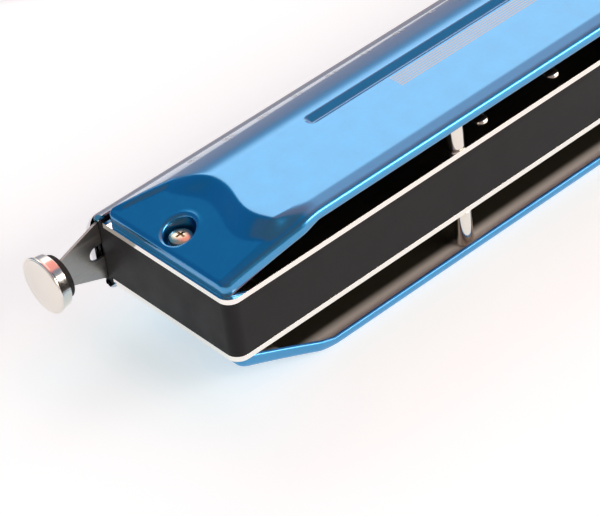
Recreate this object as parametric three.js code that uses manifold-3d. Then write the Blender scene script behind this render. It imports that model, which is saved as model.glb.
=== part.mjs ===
// A sixteen-hole chromatic harmonica: comb, two reed plates with their reeds, two pressed
// covers, mouthpiece, slide with its button, return spring and the fasteners.
// Millimetres. +X runs to the button, +Y to the open back, +Z up.

import * as THREE from 'three';
import { mergeVertices } from 'three/addons/utils/BufferGeometryUtils.js';
import Module from 'manifold-3d';

const wasm = await Module();
wasm.setup();

// Overall sizes
const overallHeight = 34.0;
const bodyLength = 180.6;
const bodyDepth = 37.5;
const restStripCentre = 7.5;

// Comb
const combThickness = 12.9;
const combFloor = 0.9;
const rearCornerRadius = 2.8;
const flangeThickness = 0.9;
const flangeHeight = 16.2;
const flangeSetback = 0.3;
const flangeSeat = 0.6;

// Breath holes and air cells
const holeCount = 16;
const holePitch = 9.2;
const windowWidth = 3.6;
const windowHeight = 2.6;
const windowSpacing = 1.0;
const cellWidth = 3.4;
const cellDivider = 1.2;
const entryLength = 4.3;
const cellSpare = 0.5;
const cageWindow = 7.4;

// Reed plates and reeds
const plateThickness = 1.2;
const slotWidth = 2.4;
const reedWidth = 2.0;
const reedThickness = 0.3;
const reedSeat = 0.03;
const reedTipGap = 0.3;
const reedPadLength = 3.0;
const longestReed = 19.0;
const shortestReed = 9.5;
const reedEntryGap = 1.5;
const reedPadThickness = 0.6;

// Pressed covers
const coverSheet = 0.7;
const coverEndInset = 0.8;
const coverFrontInset = 0.7;
const coverOverhang = 1.17;
const endWallShare = 0.2674;
const endSlopeRun = 20.7;
const edgeRoll = 0.45;
const frontRollRunShare = 1.583;
const frontRollRadiusShare = 1.39;
const frontSlopeAngle = THREE.MathUtils.degToRad(31);
const frontEdgeRoll = 0.6;
const coverCorner = 0.8;
const coverCornerRun = 1.6;
const scoopReach = 16.05;
const scoopWave = 1.35;
const scoopWaveLength = 22.0;
const scoopCrestDepth = 19.5;
const scoopStepRun = 4.5;
const rimTaper = 3.0;
const rimTaperRun = 19.0;
const rimTaperPower = 1.3;
const rimBlend = 6.0;
const rimRoll = 1.0;
const rimRollShare = 0.29;
const coveWidth = 3.2;
const coveDepth = 0.35;
// Shares of the roll's run, of the level roof, of the cove's width with the relief there, and of
// the scooped step's run with the share of the platform there, at which the skin has points
const rollShares = [0.66, 0.33];
const roofShares = [0.68, 0.35];
const coveShares = [[0.56, 0.7], [0.26, 1], [0.03, 0.3]];
const stepShares = [[0.35, 0.72], [0.65, 0.28]];
const stepRoomShare = 0.8;
const lipShare = 0.2727;
const backWindowInset = 2.0;
const backWindowSlope = 0.345;
const grooveLength = 101.0;
const grooveWidth = 3.0;
const grooveDepth = 0.8;
const grooveSetback = 1.3;

// Cover bolts, their nuts and dimples
const boltInset = 5.7;
const boltDepth = 20.0;
const boltRadius = 1.2;
const boltHeadRadius = 2.25;
const boltHeadHeight = 2.05;
const boltHeadCrown = 0.55;
const boltHeadShares = [0.72, 0.8];
const nutSleeveRadius = 1.75;
const nutReach = 2.5;
const boltReach = 4.5;
const crossWidth = 0.55;
const crossLength = 2.5;
const crossDepth = 0.9;
const dimpleSeatRadius = 2.75;
const dimpleRimRadius = 3.6;
const dimpleHeight = 3.45;

// Cover posts
const postSpacing = 58.4;
const postDepth = 2.0;
const postRadius = 1.9;
const postFootRadius = 1.35;
const postFootHeight = 0.7;

// Reed plate screws
const plateScrewRadius = 0.85;
const plateScrewLength = 4.4;
const plateScrewHeadRadius = 1.6;
const plateScrewHeadHeight = 0.95;
const plateScrewCrownShare = 0.75;
const rearScrewDepth = 4.5;
const rearScrewSpacing = 20.0;
const endScrewInset = 15.3;
const endScrewDepth = 9.0;
const frontScrewInset = 3.6;

// Slide, its cage and the mouthpiece
const backPlateThickness = 0.4;
const cageThickness = 0.4;
const cageHeight = 15.6;
const cageLip = 0.6;
const slideThickness = 0.6;
const slideHeight = 14.0;
const slideClearance = 0.1;
const slideTravel = 4.6;
const slideTaper = 10.5;
const slideTongueHeight = 6.2;
const slideTongueLength = 3.0;
const slideEndInset = 4.3;
const slideSlotHeight = 3.25;
const slideWindowWidth = 3.8;
const slideWindowHeight = 2.8;
const mouthpieceDepth = 7.55;
const mouthpieceHeight = 18.14;
const mouthpieceOverlap = 0.85;
const mouthpieceEndReach = 1.3;
const mouthpieceEndRound = 3.0;
const mouthpieceCorner = 2.2;
const mouthpieceCornerShare = 0.95;
const mouthpieceDepthShares = [0, 0.25, 0.5, 0.72, 0.9, 1];
const mouthpieceFullness = 1.6;
const mouthpieceFrontShare = 0.97;
const mouthHoleRadius = 3.6;
const mouthScrewInset = 2.7;
const mouthScrewRadius = 1.2;
const mouthScrewHeadRadius = 2.0;
const mouthScrewHeadHeight = 1.1;
const mouthScrewHeadDepth = 2.0;
// Shares of the head's radius and height along its crown, and of the cross recess
const mouthScrewCrownShares = [[1, 0.55], [0.7, 0.9], [0, 1]];
const mouthScrewCrossShare = 0.8;
const mouthScrewCrossFloorShare = 0.4;
const mouthScrewReach = 6.0;

// Button
const buttonRadius = 6.2;
const buttonSideRadius = 6.0;
const buttonWaistRadius = 5.7;
const buttonLength = 2.9;
const buttonDome = 0.5;
const buttonEdge = 0.35;
const buttonBack = 0.3;
// Shares of the button's radius and of its dome's height, from the rim to the crown
const buttonDomeShares = [[0.98, 0], [0.91, 0.32], [0.55, 0.88], [0, 1]];
const bumperRadius = 4.7;
const bumperLength = 1.5;
const bumperRollShare = 0.2;

// Return spring
const springWireRadius = 0.35;
const springCoilRadius = 2.2;
const springCoilPitch = 1.15;
const springTurns = 2.25;
const springPocketInset = 5.1;
const springPocketLength = 10.8;
const springPocketHeight = 11.4;
const springPocketDepth = 3.7;
const springPegRadius = 1.5;
const springLegLength = 3.2;
const springTipRise = 4.6;
const springCoilDrop = 3.0;
const springTipLead = 2.4;
const springHoleRadius = 0.6;
const springLegShare = 0.5;
const springCoilSteps = 12;
const springWireSteps = 44;
const springWireSides = 3;

// Fits
const fitGap = 0.15;
const overrun = 1.0;
const roundSides = 12;
const smallSides = 8;
const mouthHoleSides = 10;
const pilotSides = 6;
const buttonSides = 24;
const planSegments = 4;
const outlineSegments = 6;
const mouthCornerSteps = 4;

// Places worked out from the sizes, with Y from the middle of the reed plates and Z from the
// middle of the comb
const halfLength = bodyLength / 2;
const rearY = bodyDepth / 2;
const frontY = -rearY;
const plateTop = combThickness / 2 + plateThickness;
const coverTop = overallHeight / 2;
const coverRise = coverTop - plateTop;
const endWallRise = coverRise * endWallShare;
const frontRollRun = coverRise * frontRollRunShare;
const frontRollRadius = coverRise * frontRollRadiusShare;
const lipHeight = coverRise * lipShare;
const flangeRearY = frontY - flangeSetback;
const flangeFrontY = flangeRearY - flangeThickness;
const backPlateFrontY = flangeFrontY - backPlateThickness;
const slideRearY = backPlateFrontY - slideClearance;
const slideFrontY = slideRearY - slideThickness;
const slideMiddleY = (slideRearY + slideFrontY) / 2;
const cageRearY = slideFrontY - slideClearance;
const cageFrontY = cageRearY - cageThickness;
const mouthRearY = flangeFrontY + mouthpieceOverlap;
const mouthFrontY = mouthRearY - mouthpieceDepth;
const mouthEndX = halfLength + mouthpieceEndReach;
const mouthScrewX = halfLength - mouthScrewInset;
const boltX = halfLength - boltInset;
const boltY = rearY - boltDepth;
const entryRearY = frontY + entryLength;
const reedTipY = entryRearY + reedEntryGap;
const cellOffset = (cellDivider + cellWidth) / 2;
const firstHoleX = -holePitch * (holeCount - 1) / 2;
const springPocketX = -halfLength + springPocketInset;
const springCoilX = springPocketX + springPocketLength / 2;
const springTipX = springCoilX + springTipLead;
const bumperX = halfLength + slideTaper;
const buttonX = bumperX + bumperLength;

function holeX(hole) {
  return firstHoleX + hole * holePitch;
}

function reedLength(hole) {
  return THREE.MathUtils.lerp(longestReed, shortestReed, hole / (holeCount - 1));
}

// Solids and meshes

function toSolid(geometry) {
  const bare = geometry.index ? geometry.clone() : geometry;
  bare.deleteAttribute('normal');
  bare.deleteAttribute('uv');
  const merged = mergeVertices(bare);
  const corners = merged.index.array;
  const kept = [];
  for (let i = 0; i < corners.length; i += 3) {
    const [a, b, c] = [corners[i], corners[i + 1], corners[i + 2]];
    if (a !== b && b !== c && c !== a) {
      kept.push(a, b, c);
    }
  }
  const mesh = new wasm.Mesh({
    numProp: 3,
    vertProperties: new Float32Array(merged.attributes.position.array),
    triVerts: new Uint32Array(kept),
  });
  return new wasm.Manifold(mesh);
}

function toGeometry(solid) {
  const mesh = solid.getMesh();
  const points = [];
  for (let i = 0; i < mesh.vertProperties.length; i += mesh.numProp) {
    points.push(mesh.vertProperties[i], mesh.vertProperties[i + 1], mesh.vertProperties[i + 2]);
  }
  const geometry = new THREE.BufferGeometry();
  geometry.setAttribute('position', new THREE.Float32BufferAttribute(points, 3));
  geometry.setIndex(Array.from(mesh.triVerts));
  geometry.computeVertexNormals();
  return geometry;
}

function cutAll(solid, tools) {
  return tools.reduce((rest, tool) => rest.subtract(tool), solid);
}

function addAll(solid, extras) {
  return extras.reduce((rest, extra) => rest.add(extra), solid);
}

function block(x0, x1, y0, y1, z0, z1) {
  const geometry = new THREE.BoxGeometry(x1 - x0, y1 - y0, z1 - z0);
  geometry.translate((x0 + x1) / 2, (y0 + y1) / 2, (z0 + z1) / 2);
  return toSolid(geometry);
}

// A rod along Z from z0 to z1
function rodZ(x, y, z0, z1, radius, sides = roundSides) {
  const geometry = new THREE.CylinderGeometry(radius, radius, z1 - z0, sides);
  geometry.rotateX(Math.PI / 2);
  geometry.translate(x, y, (z0 + z1) / 2);
  return toSolid(geometry);
}

// A rod along Y from y0 to y1
function rodY(x, z, y0, y1, radius, sides = roundSides) {
  const geometry = new THREE.CylinderGeometry(radius, radius, y1 - y0, sides);
  geometry.translate(x, (y0 + y1) / 2, z);
  return toSolid(geometry);
}

// A plan outline in X and Y, raised from z0 to z1
function raisePlan(shape, z0, z1) {
  const geometry = new THREE.ExtrudeGeometry(shape, {
    depth: z1 - z0, bevelEnabled: false, curveSegments: planSegments,
  });
  geometry.translate(0, 0, z0);
  return toSolid(geometry);
}

// An outline in X and Z, as seen from the back, pushed from y0 to y1
function pushOutline(shape, y0, y1, curveSegments = outlineSegments) {
  const geometry = new THREE.ExtrudeGeometry(shape, {
    depth: y1 - y0, bevelEnabled: false, curveSegments,
  });
  geometry.rotateX(Math.PI / 2);
  geometry.translate(0, y1, 0);
  return toSolid(geometry);
}

// A profile of [radius, height] pairs turned about Z, standing at x and y
function turned(profile, x, y, sides = roundSides) {
  const points = profile.map(([radius, height]) => new THREE.Vector2(radius, height));
  const geometry = new THREE.LatheGeometry(points, sides);
  geometry.rotateX(Math.PI / 2);
  geometry.translate(x, y, 0);
  return toSolid(geometry);
}

function signedVolume(points, corners) {
  let volume = 0;
  for (let i = 0; i < corners.length; i += 3) {
    const [a, b, c] = [points[corners[i]], points[corners[i + 1]], points[corners[i + 2]]];
    volume += a.dot(new THREE.Vector3().crossVectors(b, c));
  }
  return volume;
}

// The triangles that fill an outline, each wound the way the outline runs
function capCorners(outline) {
  const faces = THREE.ShapeUtils.triangulateShape(outline, []);
  return THREE.ShapeUtils.isClockWise(outline) ? faces.map(([a, b, c]) => [c, b, a]) : faces;
}

// A closed solid through a row of closed sections with equal numbers of points
function loft(sections, capPoint) {
  const count = sections[0].length;
  const points = sections.flat();
  const corners = [];
  for (let s = 0; s + 1 < sections.length; s += 1) {
    for (let p = 0; p < count; p += 1) {
      const next = (p + 1) % count;
      const [a, b] = [s * count + p, s * count + next];
      const [c, d] = [a + count, b + count];
      corners.push(a, b, d, a, d, c);
    }
  }
  const lastStart = (sections.length - 1) * count;
  for (const [a, b, c] of capCorners(sections[0].map(capPoint))) {
    corners.push(c, b, a);
  }
  for (const [a, b, c] of capCorners(sections.at(-1).map(capPoint))) {
    corners.push(lastStart + a, lastStart + b, lastStart + c);
  }
  if (signedVolume(points, corners) < 0) {
    corners.reverse();
  }
  const geometry = new THREE.BufferGeometry();
  const flat = points.flatMap((point) => point.toArray());
  geometry.setAttribute('position', new THREE.Float32BufferAttribute(flat, 3));
  geometry.setIndex(corners);
  return toSolid(geometry);
}

// The same shape upside down, with its faces still pointing out
function flipped(geometry) {
  const copy = geometry.clone();
  copy.scale(1, 1, -1);
  const corners = Array.from(copy.index.array).reverse();
  copy.setIndex(corners);
  copy.computeVertexNormals();
  return copy;
}

function stadium(x0, x1, height, middle = 0) {
  const radius = height / 2;
  const shape = new THREE.Shape();
  shape.moveTo(x0 + radius, middle - radius);
  shape.lineTo(x1 - radius, middle - radius);
  shape.absarc(x1 - radius, middle, radius, -Math.PI / 2, Math.PI / 2, false);
  shape.lineTo(x0 + radius, middle + radius);
  shape.absarc(x0 + radius, middle, radius, Math.PI / 2, 3 * Math.PI / 2, false);
  return shape;
}

// The comb's and the plates' outline: square at the front, round at the back corners
function bodyPlan(front, back) {
  const r = rearCornerRadius;
  const shape = new THREE.Shape();
  shape.moveTo(-halfLength, front);
  shape.lineTo(halfLength, front);
  shape.lineTo(halfLength, back - r);
  shape.absarc(halfLength - r, back - r, r, 0, Math.PI / 2, false);
  shape.lineTo(-halfLength + r, back);
  shape.absarc(-halfLength + r, back - r, r, Math.PI / 2, Math.PI, false);
  return shape;
}

// Places of the small screws that hold one reed plate
function plateScrewPlaces() {
  const places = [[0, rearY - rearScrewDepth]];
  const endX = halfLength - endScrewInset;
  for (const side of [-1, 1]) {
    places.push([side * rearScrewSpacing, rearY - rearScrewDepth]);
    places.push([side * endX, rearY - endScrewDepth]);
    places.push([side * endX, frontY + frontScrewInset]);
  }
  return places.sort((a, b) => a[0] - b[0]);
}

// Comb

// One air channel, open to the front, which a divider splits into two cells, one for each reed
function cellPlan(hole) {
  const x = holeX(hole);
  const inner = cellDivider / 2;
  const outer = inner + cellWidth;
  const cellRearY = reedTipY + reedLength(hole) + reedTipGap + reedPadLength + cellSpare;
  const points = [
    [-outer, flangeFrontY - overrun], [outer, flangeFrontY - overrun],
    [outer, cellRearY], [inner, cellRearY], [inner, entryRearY], [-inner, entryRearY],
    [-inner, cellRearY], [-outer, cellRearY],
  ];
  return new THREE.Shape(points.map(([dx, y]) => new THREE.Vector2(x + dx, y)));
}

function windowPlaces() {
  const middle = (windowSpacing + windowHeight) / 2;
  const places = [];
  for (let hole = 0; hole < holeCount; hole += 1) {
    places.push([holeX(hole), middle], [holeX(hole), -middle]);
  }
  return places;
}

function windowTool(x, z, width, height, y0, y1) {
  return block(x - width / 2, x + width / 2, y0, y1, z - height / 2, z + height / 2);
}

function makeComb() {
  const core = raisePlan(bodyPlan(flangeFrontY, rearY), -combThickness / 2, combThickness / 2);
  const tools = [];
  for (let hole = 0; hole < holeCount; hole += 1) {
    tools.push(raisePlan(cellPlan(hole), combFloor / 2, combThickness / 2 + overrun));
    tools.push(raisePlan(cellPlan(hole), -combThickness / 2 - overrun, -combFloor / 2));
  }
  for (const side of [-1, 1]) {
    const z1 = combThickness / 2 + overrun;
    tools.push(rodZ(side * boltX, boltY, -z1, z1, nutSleeveRadius + fitGap));
    const screwEnd = flangeFrontY + mouthScrewReach + fitGap;
    tools.push(rodY(
      side * mouthScrewX, 0, flangeFrontY - overrun, screwEnd, mouthScrewRadius + fitGap, smallSides,
    ));
  }
  const pilotDepth = plateScrewLength - plateThickness + fitGap;
  const pilotRadius = (plateScrewRadius + fitGap) / Math.cos(Math.PI / pilotSides);
  for (const [x, y] of plateScrewPlaces()) {
    const z0 = combThickness / 2 - pilotDepth;
    const z1 = combThickness / 2 + overrun;
    tools.push(rodZ(x, y, z0, z1, pilotRadius, pilotSides));
    tools.push(rodZ(x, y, -z1, -z0, pilotRadius, pilotSides));
  }
  tools.push(block(
    springPocketX, springPocketX + springPocketLength,
    flangeFrontY - overrun, flangeFrontY + springPocketDepth,
    -springPocketHeight / 2, springPocketHeight / 2,
  ));
  const peg = rodY(
    springCoilX, -springCoilDrop, flangeFrontY + springWireRadius,
    flangeFrontY + springPocketDepth + overrun, springPegRadius,
  );
  const seat = combThickness / 2 - flangeSeat;
  const edge = flangeHeight / 2;
  const upperFlange = block(-halfLength, halfLength, flangeFrontY, flangeRearY, seat, edge);
  const lowerFlange = block(-halfLength, halfLength, flangeFrontY, flangeRearY, -edge, -seat);
  return toGeometry(addAll(cutAll(core, tools), [upperFlange, lowerFlange, peg]));
}

// Reed plates

// A reed's side outline, thin from its tip to the slot's end and thick at its pad, given its width.
// It stands on the face given and points up (side 1) or down (side -1).
function makeReed(x, face, side, tipY, padY, endY) {
  const [thin, thick] = [face + side * reedThickness, face + side * reedPadThickness];
  const shape = new THREE.Shape([
    new THREE.Vector2(tipY, face), new THREE.Vector2(endY, face), new THREE.Vector2(endY, thick),
    new THREE.Vector2(padY, thick), new THREE.Vector2(padY, thin), new THREE.Vector2(tipY, thin),
  ]);
  const geometry = new THREE.ExtrudeGeometry(shape, { depth: reedWidth, bevelEnabled: false });
  geometry.rotateX(Math.PI / 2);
  geometry.rotateZ(Math.PI / 2);
  geometry.translate(x - reedWidth / 2, 0, 0);
  return toSolid(geometry);
}

// The plate lies with its inner face at zero. In each pair the blow reed is under the plate and
// the draw reed on top, each over its own slot and fixed by a thicker pad at the back.
function makeReedPlate() {
  const plate = raisePlan(bodyPlan(frontY, rearY), 0, plateThickness);
  const slots = [];
  const reeds = [];
  for (let hole = 0; hole < holeCount; hole += 1) {
    const slotEndY = reedTipY + reedLength(hole) + reedTipGap;
    const padEndY = slotEndY + reedPadLength;
    for (const side of [-1, 1]) {
      const x = holeX(hole) + side * cellOffset;
      slots.push(block(
        x - slotWidth / 2, x + slotWidth / 2, reedTipY, slotEndY, -overrun, plateThickness + overrun,
      ));
      const face = side > 0 ? plateThickness - reedSeat : reedSeat;
      reeds.push(makeReed(x, face, side, reedTipY + reedTipGap, slotEndY + reedTipGap, padEndY));
    }
  }
  const holes = [];
  for (const side of [-1, 1]) {
    holes.push(rodZ(side * boltX, boltY, -overrun, plateThickness + overrun, nutSleeveRadius + fitGap));
  }
  for (const [x, y] of plateScrewPlaces()) {
    holes.push(rodZ(x, y, -overrun, plateThickness + overrun, plateScrewRadius + fitGap, smallSides));
  }
  return toGeometry(addAll(cutAll(plate, [...slots, ...holes]), reeds));
}

function makePlateScrew() {
  const r = plateScrewRadius;
  const head = plateScrewHeadRadius;
  const top = plateScrewHeadHeight;
  return toGeometry(turned([
    [0, -plateScrewLength], [r, -plateScrewLength], [r, 0], [head, 0],
    [head * plateScrewCrownShare, top * plateScrewCrownShare], [0, top],
  ], 0, 0, smallSides));
}

// Covers

const endSlope = (coverRise - endWallRise) / endSlopeRun;
const frontWallDepth = bodyDepth - coverFrontInset;
const plateauFrontDepth = frontWallDepth - frontRollRun;

// Height of the cover's cross-section over the reed plate, at a depth in from the back edge of
// the plate: a level roof that rolls over into a straight front slope
function roofRise(depth, inset) {
  const radius = frontRollRadius - inset;
  const run = Math.max(0, depth - plateauFrontDepth);
  const arcRun = radius * Math.sin(frontSlopeAngle);
  const along = Math.min(run, arcRun);
  const drop = radius - Math.sqrt(radius * radius - along * along);
  return coverRise - inset - drop - Math.tan(frontSlopeAngle) * (run - along);
}

// Height of the sloping end platform, at a distance in from the end of the comb
function slopeRise(fromEnd, inset) {
  const square = inset * Math.hypot(1, endSlope);
  return endWallRise + endSlope * (fromEnd - coverEndInset) - square;
}

// Distance from the comb's end to the edge of the raised roof. It winds along a wave, and at the
// back rim it lies where the platform meets the roof, so the rim bends without a step.
function scoopEdge(depth, inset) {
  const phase = 2 * Math.PI * (depth - scoopCrestDepth) / scoopWaveLength;
  const wave = scoopReach + scoopWave * Math.cos(phase);
  const meeting = coverEndInset + (roofRise(depth, inset) - slopeRise(coverEndInset, inset)) / endSlope;
  const fromRim = THREE.MathUtils.smoothstep(depth, 0, coveWidth);
  return Math.min(THREE.MathUtils.lerp(meeting, wave, fromRim), meeting);
}

// How far the back rim is drawn in at a distance from the comb's end
function rimInset(fromEnd) {
  const share = Math.min(1, fromEnd / rimTaperRun);
  return rimTaper * (1 - share ** rimTaperPower);
}

// How far the corners in plan are drawn in, close to the end wall
function cornerInset(fromWall) {
  const share = 1 - Math.min(1, fromWall / coverCornerRun);
  return coverCorner * share * share;
}

// Depths of the points of one cross-section from the front wall to the back, with the relief of
// the cove along the back rim
function sectionDepths(inset) {
  const front = frontWallDepth - inset;
  const arcEnd = plateauFrontDepth + (frontRollRadius - inset) * Math.sin(frontSlopeAngle);
  const arcRun = arcEnd - plateauFrontDepth;
  const roofRun = plateauFrontDepth - coveWidth;
  const back = -coverOverhang + inset;
  const slopeAndRoof = [
    { depth: (front + arcEnd) / 2, relief: 0 },
    { depth: arcEnd, relief: 0 },
    ...rollShares.map((share) => ({ depth: plateauFrontDepth + arcRun * share, relief: 0 })),
    { depth: plateauFrontDepth, relief: 0 },
    ...roofShares.map((share) => ({ depth: coveWidth + roofRun * share, relief: 0 })),
    { depth: coveWidth, relief: 0 },
  ];
  if (inset > 0) {
    return [{ depth: front, relief: 0 }, ...slopeAndRoof, { depth: back, relief: 0 }];
  }
  return [
    { depth: front, relief: frontEdgeRoll, edge: true },
    { depth: front - frontEdgeRoll, relief: 0 },
    ...slopeAndRoof,
    ...coveShares.map(([along, deep]) => ({ depth: coveWidth * along, relief: coveDepth * deep })),
    { depth: back + rimRoll, relief: 0 },
    { depth: back + rimRoll * rimRollShare, relief: rimRoll * rimRollShare },
    { depth: back, relief: rimRoll, edge: true },
  ];
}

// Distances from the comb's end of the stations of one lengthwise line, and where each lies on
// the step between platform (1) and roof (0)
function stationsAt(depth, inset) {
  const wall = coverEndInset + inset;
  const edge = Math.max(scoopEdge(depth, inset), wall + coverCornerRun + edgeRoll);
  const step = Math.min(scoopStepRun, (edge - wall - edgeRoll) * stepRoomShare);
  const foot = edge - step;
  return [
    { fromEnd: wall, onSlope: 1, wall: true },
    { fromEnd: wall + edgeRoll, onSlope: 1 },
    { fromEnd: (wall + edgeRoll + foot) / 2, onSlope: 1 },
    { fromEnd: foot, onSlope: 1 },
    ...stepShares.map(([along, onSlope]) => ({ fromEnd: foot + step * along, onSlope })),
    { fromEnd: edge, onSlope: 0 },
    { fromEnd: endSlopeRun + rimBlend, onSlope: 0 },
  ];
}

// One closed cross-section, standing across the cover at station number s, on the side of +X
function coverSection(s, inset, bottom) {
  const top = sectionDepths(inset).map(({ depth, relief, edge }) => {
    const station = stationsAt(Math.max(depth, 0), inset)[s];
    const { fromEnd, onSlope } = station;
    const corner = cornerInset(fromEnd - coverEndInset - inset);
    const backPull = rimInset(fromEnd) + corner;
    const frontPull = corner * Math.max(0, 1 - (frontWallDepth - depth) / rimBlend);
    const nearBack = Math.max(0, (rimBlend - depth) / (rimBlend + coverOverhang));
    const placed = depth + backPull * nearBack - frontPull;
    const roof = roofRise(depth, inset);
    const slope = Math.min(roof, slopeRise(fromEnd, inset));
    const rolled = station.wall && !edge ? relief + edgeRoll : relief;
    const rise = THREE.MathUtils.lerp(roof, slope, onSlope) - rolled;
    return new THREE.Vector3(halfLength - fromEnd, rearY - placed, plateTop + rise);
  });
  const first = top[0].clone().setZ(bottom);
  const last = top.at(-1).clone().setZ(bottom);
  return [first, ...top, last];
}

// The space under the cover's outer skin (inset 0) or inner skin
function coverSpace(inset, bottom) {
  const stationCount = stationsAt(0, inset).length;
  const right = [];
  for (let s = 0; s < stationCount; s += 1) {
    right.push(coverSection(s, inset, bottom));
  }
  const middle = right.at(-1).map((point) => point.clone().setX(0));
  const left = right.map((section) => section.map((point) => point.clone().setX(-point.x)));
  const sections = [...left, middle, ...right.reverse()];
  return loft(sections, (point) => new THREE.Vector2(point.y, point.z));
}

// The long opening in the back wall under the lip, closing down to the plate at both ends
function backWindow() {
  const top = coverTop - lipHeight;
  const run = (top - plateTop) / backWindowSlope;
  const low = halfLength - backWindowInset;
  const high = low - run;
  const shape = new THREE.Shape([
    new THREE.Vector2(-low, plateTop), new THREE.Vector2(-high, top),
    new THREE.Vector2(high, top), new THREE.Vector2(low, plateTop),
    new THREE.Vector2(low, plateTop - overrun), new THREE.Vector2(-low, plateTop - overrun),
  ]);
  return pushOutline(shape, rearY - rimTaper, rearY + coverOverhang + overrun);
}

// A conical pressing around a cover bolt: wall from the plate up, seat and through hole
function dimpleWall(x, grow, bottom) {
  const flare = (dimpleRimRadius - dimpleSeatRadius) / dimpleHeight;
  const top = coverRise + overrun;
  const topRadius = dimpleSeatRadius + flare * (top - coverSheet);
  return turned([
    [0, plateTop + bottom], [dimpleSeatRadius + grow, plateTop + bottom],
    [topRadius + grow, plateTop + top], [0, plateTop + top],
  ], x, boltY);
}

function makeCover(holeRadius) {
  const blank = coverSpace(0, plateTop);
  const hollow = coverSpace(coverSheet, plateTop - overrun);
  let cover = blank.subtract(hollow).subtract(backWindow());
  const grooveY = rearY - plateauFrontDepth + grooveSetback;
  const grooveHalf = grooveLength / 2;
  const ridge = raisePlan(
    stadium(-grooveHalf - coverSheet, grooveHalf + coverSheet, grooveWidth + 2 * coverSheet, grooveY),
    coverTop - grooveDepth - coverSheet, coverTop - coverSheet / 2,
  );
  const groove = raisePlan(
    stadium(-grooveHalf, grooveHalf, grooveWidth, grooveY), coverTop - grooveDepth, coverTop + overrun,
  );
  cover = cover.add(ridge).subtract(groove);
  for (const side of [-1, 1]) {
    const x = side * boltX;
    const wall = dimpleWall(x, coverSheet, 0).intersect(blank);
    cover = cover.add(wall).subtract(dimpleWall(x, 0, coverSheet));
    cover = cover.subtract(rodZ(x, boltY, plateTop - overrun, coverTop, holeRadius));
  }
  return toGeometry(cover);
}

function makePost() {
  return toGeometry(turned([
    [0, 0], [postFootRadius, 0], [postRadius, postFootHeight], [postRadius, coverRise - coverSheet],
    [0, coverRise - coverSheet],
  ], 0, 0, smallSides));
}

// Cover bolts and nuts stand with the underside of the head at zero, pointing up

function headProfile() {
  const rim = boltHeadHeight - boltHeadCrown;
  const [wide, high] = boltHeadShares;
  return [
    [boltHeadRadius, 0], [boltHeadRadius, rim],
    [boltHeadRadius * wide, rim + boltHeadCrown * high], [0, boltHeadHeight],
  ];
}

function crossRecess() {
  const [w, l] = [crossWidth / 2, crossLength / 2];
  const [z0, z1] = [boltHeadHeight - crossDepth, boltHeadHeight + overrun];
  return block(-w, w, -l, l, z0, z1).add(block(-l, l, -w, w, z0, z1));
}

function makeCoverBolt() {
  const seat = coverRiseToSeat();
  const length = seat + boltReach;
  const shank = [[0, -length], [boltRadius, -length], [boltRadius, 0]];
  const bolt = turned([...shank, ...headProfile()], 0, 0);
  return toGeometry(bolt.subtract(crossRecess()));
}

function makeCoverNut() {
  const length = coverRiseToSeat() - nutReach;
  const sleeve = [[0, -length], [nutSleeveRadius, -length], [nutSleeveRadius, 0]];
  const nut = turned([...sleeve, ...headProfile()], 0, 0);
  const bore = rodZ(0, 0, -length - overrun, 0, boltRadius + fitGap);
  return toGeometry(nut.subtract(bore).subtract(crossRecess()));
}

// Height of a bolt's seat over the middle of the comb
function coverRiseToSeat() {
  return plateTop + coverSheet;
}

// Slide and its cage

function slideOutline() {
  const h = slideHeight / 2;
  const tongue = slideTongueHeight / 2;
  const left = -halfLength + slideEndInset;
  const tip = bumperX + slideTongueLength;
  return new THREE.Shape([
    new THREE.Vector2(left, -h), new THREE.Vector2(halfLength, -h),
    new THREE.Vector2(bumperX, -tongue), new THREE.Vector2(tip, -tongue),
    new THREE.Vector2(tip, tongue), new THREE.Vector2(bumperX, tongue),
    new THREE.Vector2(halfLength, h), new THREE.Vector2(left, h),
  ]);
}

// The slide's slots let it travel on the mouthpiece screws, and its windows lie half a pitch apart
// in the two rows, so that one row is open at rest and the other when the button is pressed
function makeSlide() {
  const [y0, y1] = [slideFrontY - overrun, slideRearY + overrun];
  const nearEnd = mouthScrewRadius + fitGap;
  const farEnd = nearEnd + slideTravel;
  const slot = stadium(mouthScrewX - nearEnd, mouthScrewX + farEnd, slideSlotHeight);
  const notch = stadium(-halfLength, -mouthScrewX + farEnd, slideSlotHeight);
  const tools = [pushOutline(slot, y0, y1), pushOutline(notch, y0, y1)];
  const middle = (windowSpacing + windowHeight) / 2;
  for (let hole = 0; hole < holeCount; hole += 1) {
    const x = holeX(hole);
    tools.push(windowTool(x, middle, slideWindowWidth, slideWindowHeight, y0, y1));
    tools.push(windowTool(x + slideTravel, -middle, slideWindowWidth, slideWindowHeight, y0, y1));
  }
  tools.push(rodY(springTipX, springTipRise, y0, y1, springHoleRadius, smallSides));
  return toGeometry(cutAll(pushOutline(slideOutline(), slideFrontY, slideRearY), tools));
}

function mouthScrewHoles(y0, y1, radius) {
  return [-1, 1].map((side) => rodY(side * mouthScrewX, 0, y0, y1, radius, smallSides));
}

function makeBackPlate() {
  const [y0, y1] = [backPlateFrontY - overrun, flangeFrontY + overrun];
  const h = cageHeight / 2;
  const plate = block(-halfLength, halfLength, backPlateFrontY, flangeFrontY, -h, h);
  const tools = mouthScrewHoles(y0, y1, mouthScrewRadius + fitGap);
  for (const [x, z] of windowPlaces()) {
    tools.push(windowTool(x, z, windowWidth, windowHeight, y0, y1));
  }
  const swing = springWireRadius + fitGap * 2;
  tools.push(block(
    springTipX - slideTravel - swing, springTipX + swing, y0, y1,
    springTipRise - swing, springTipRise + swing,
  ));
  return toGeometry(cutAll(plate, tools));
}

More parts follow.
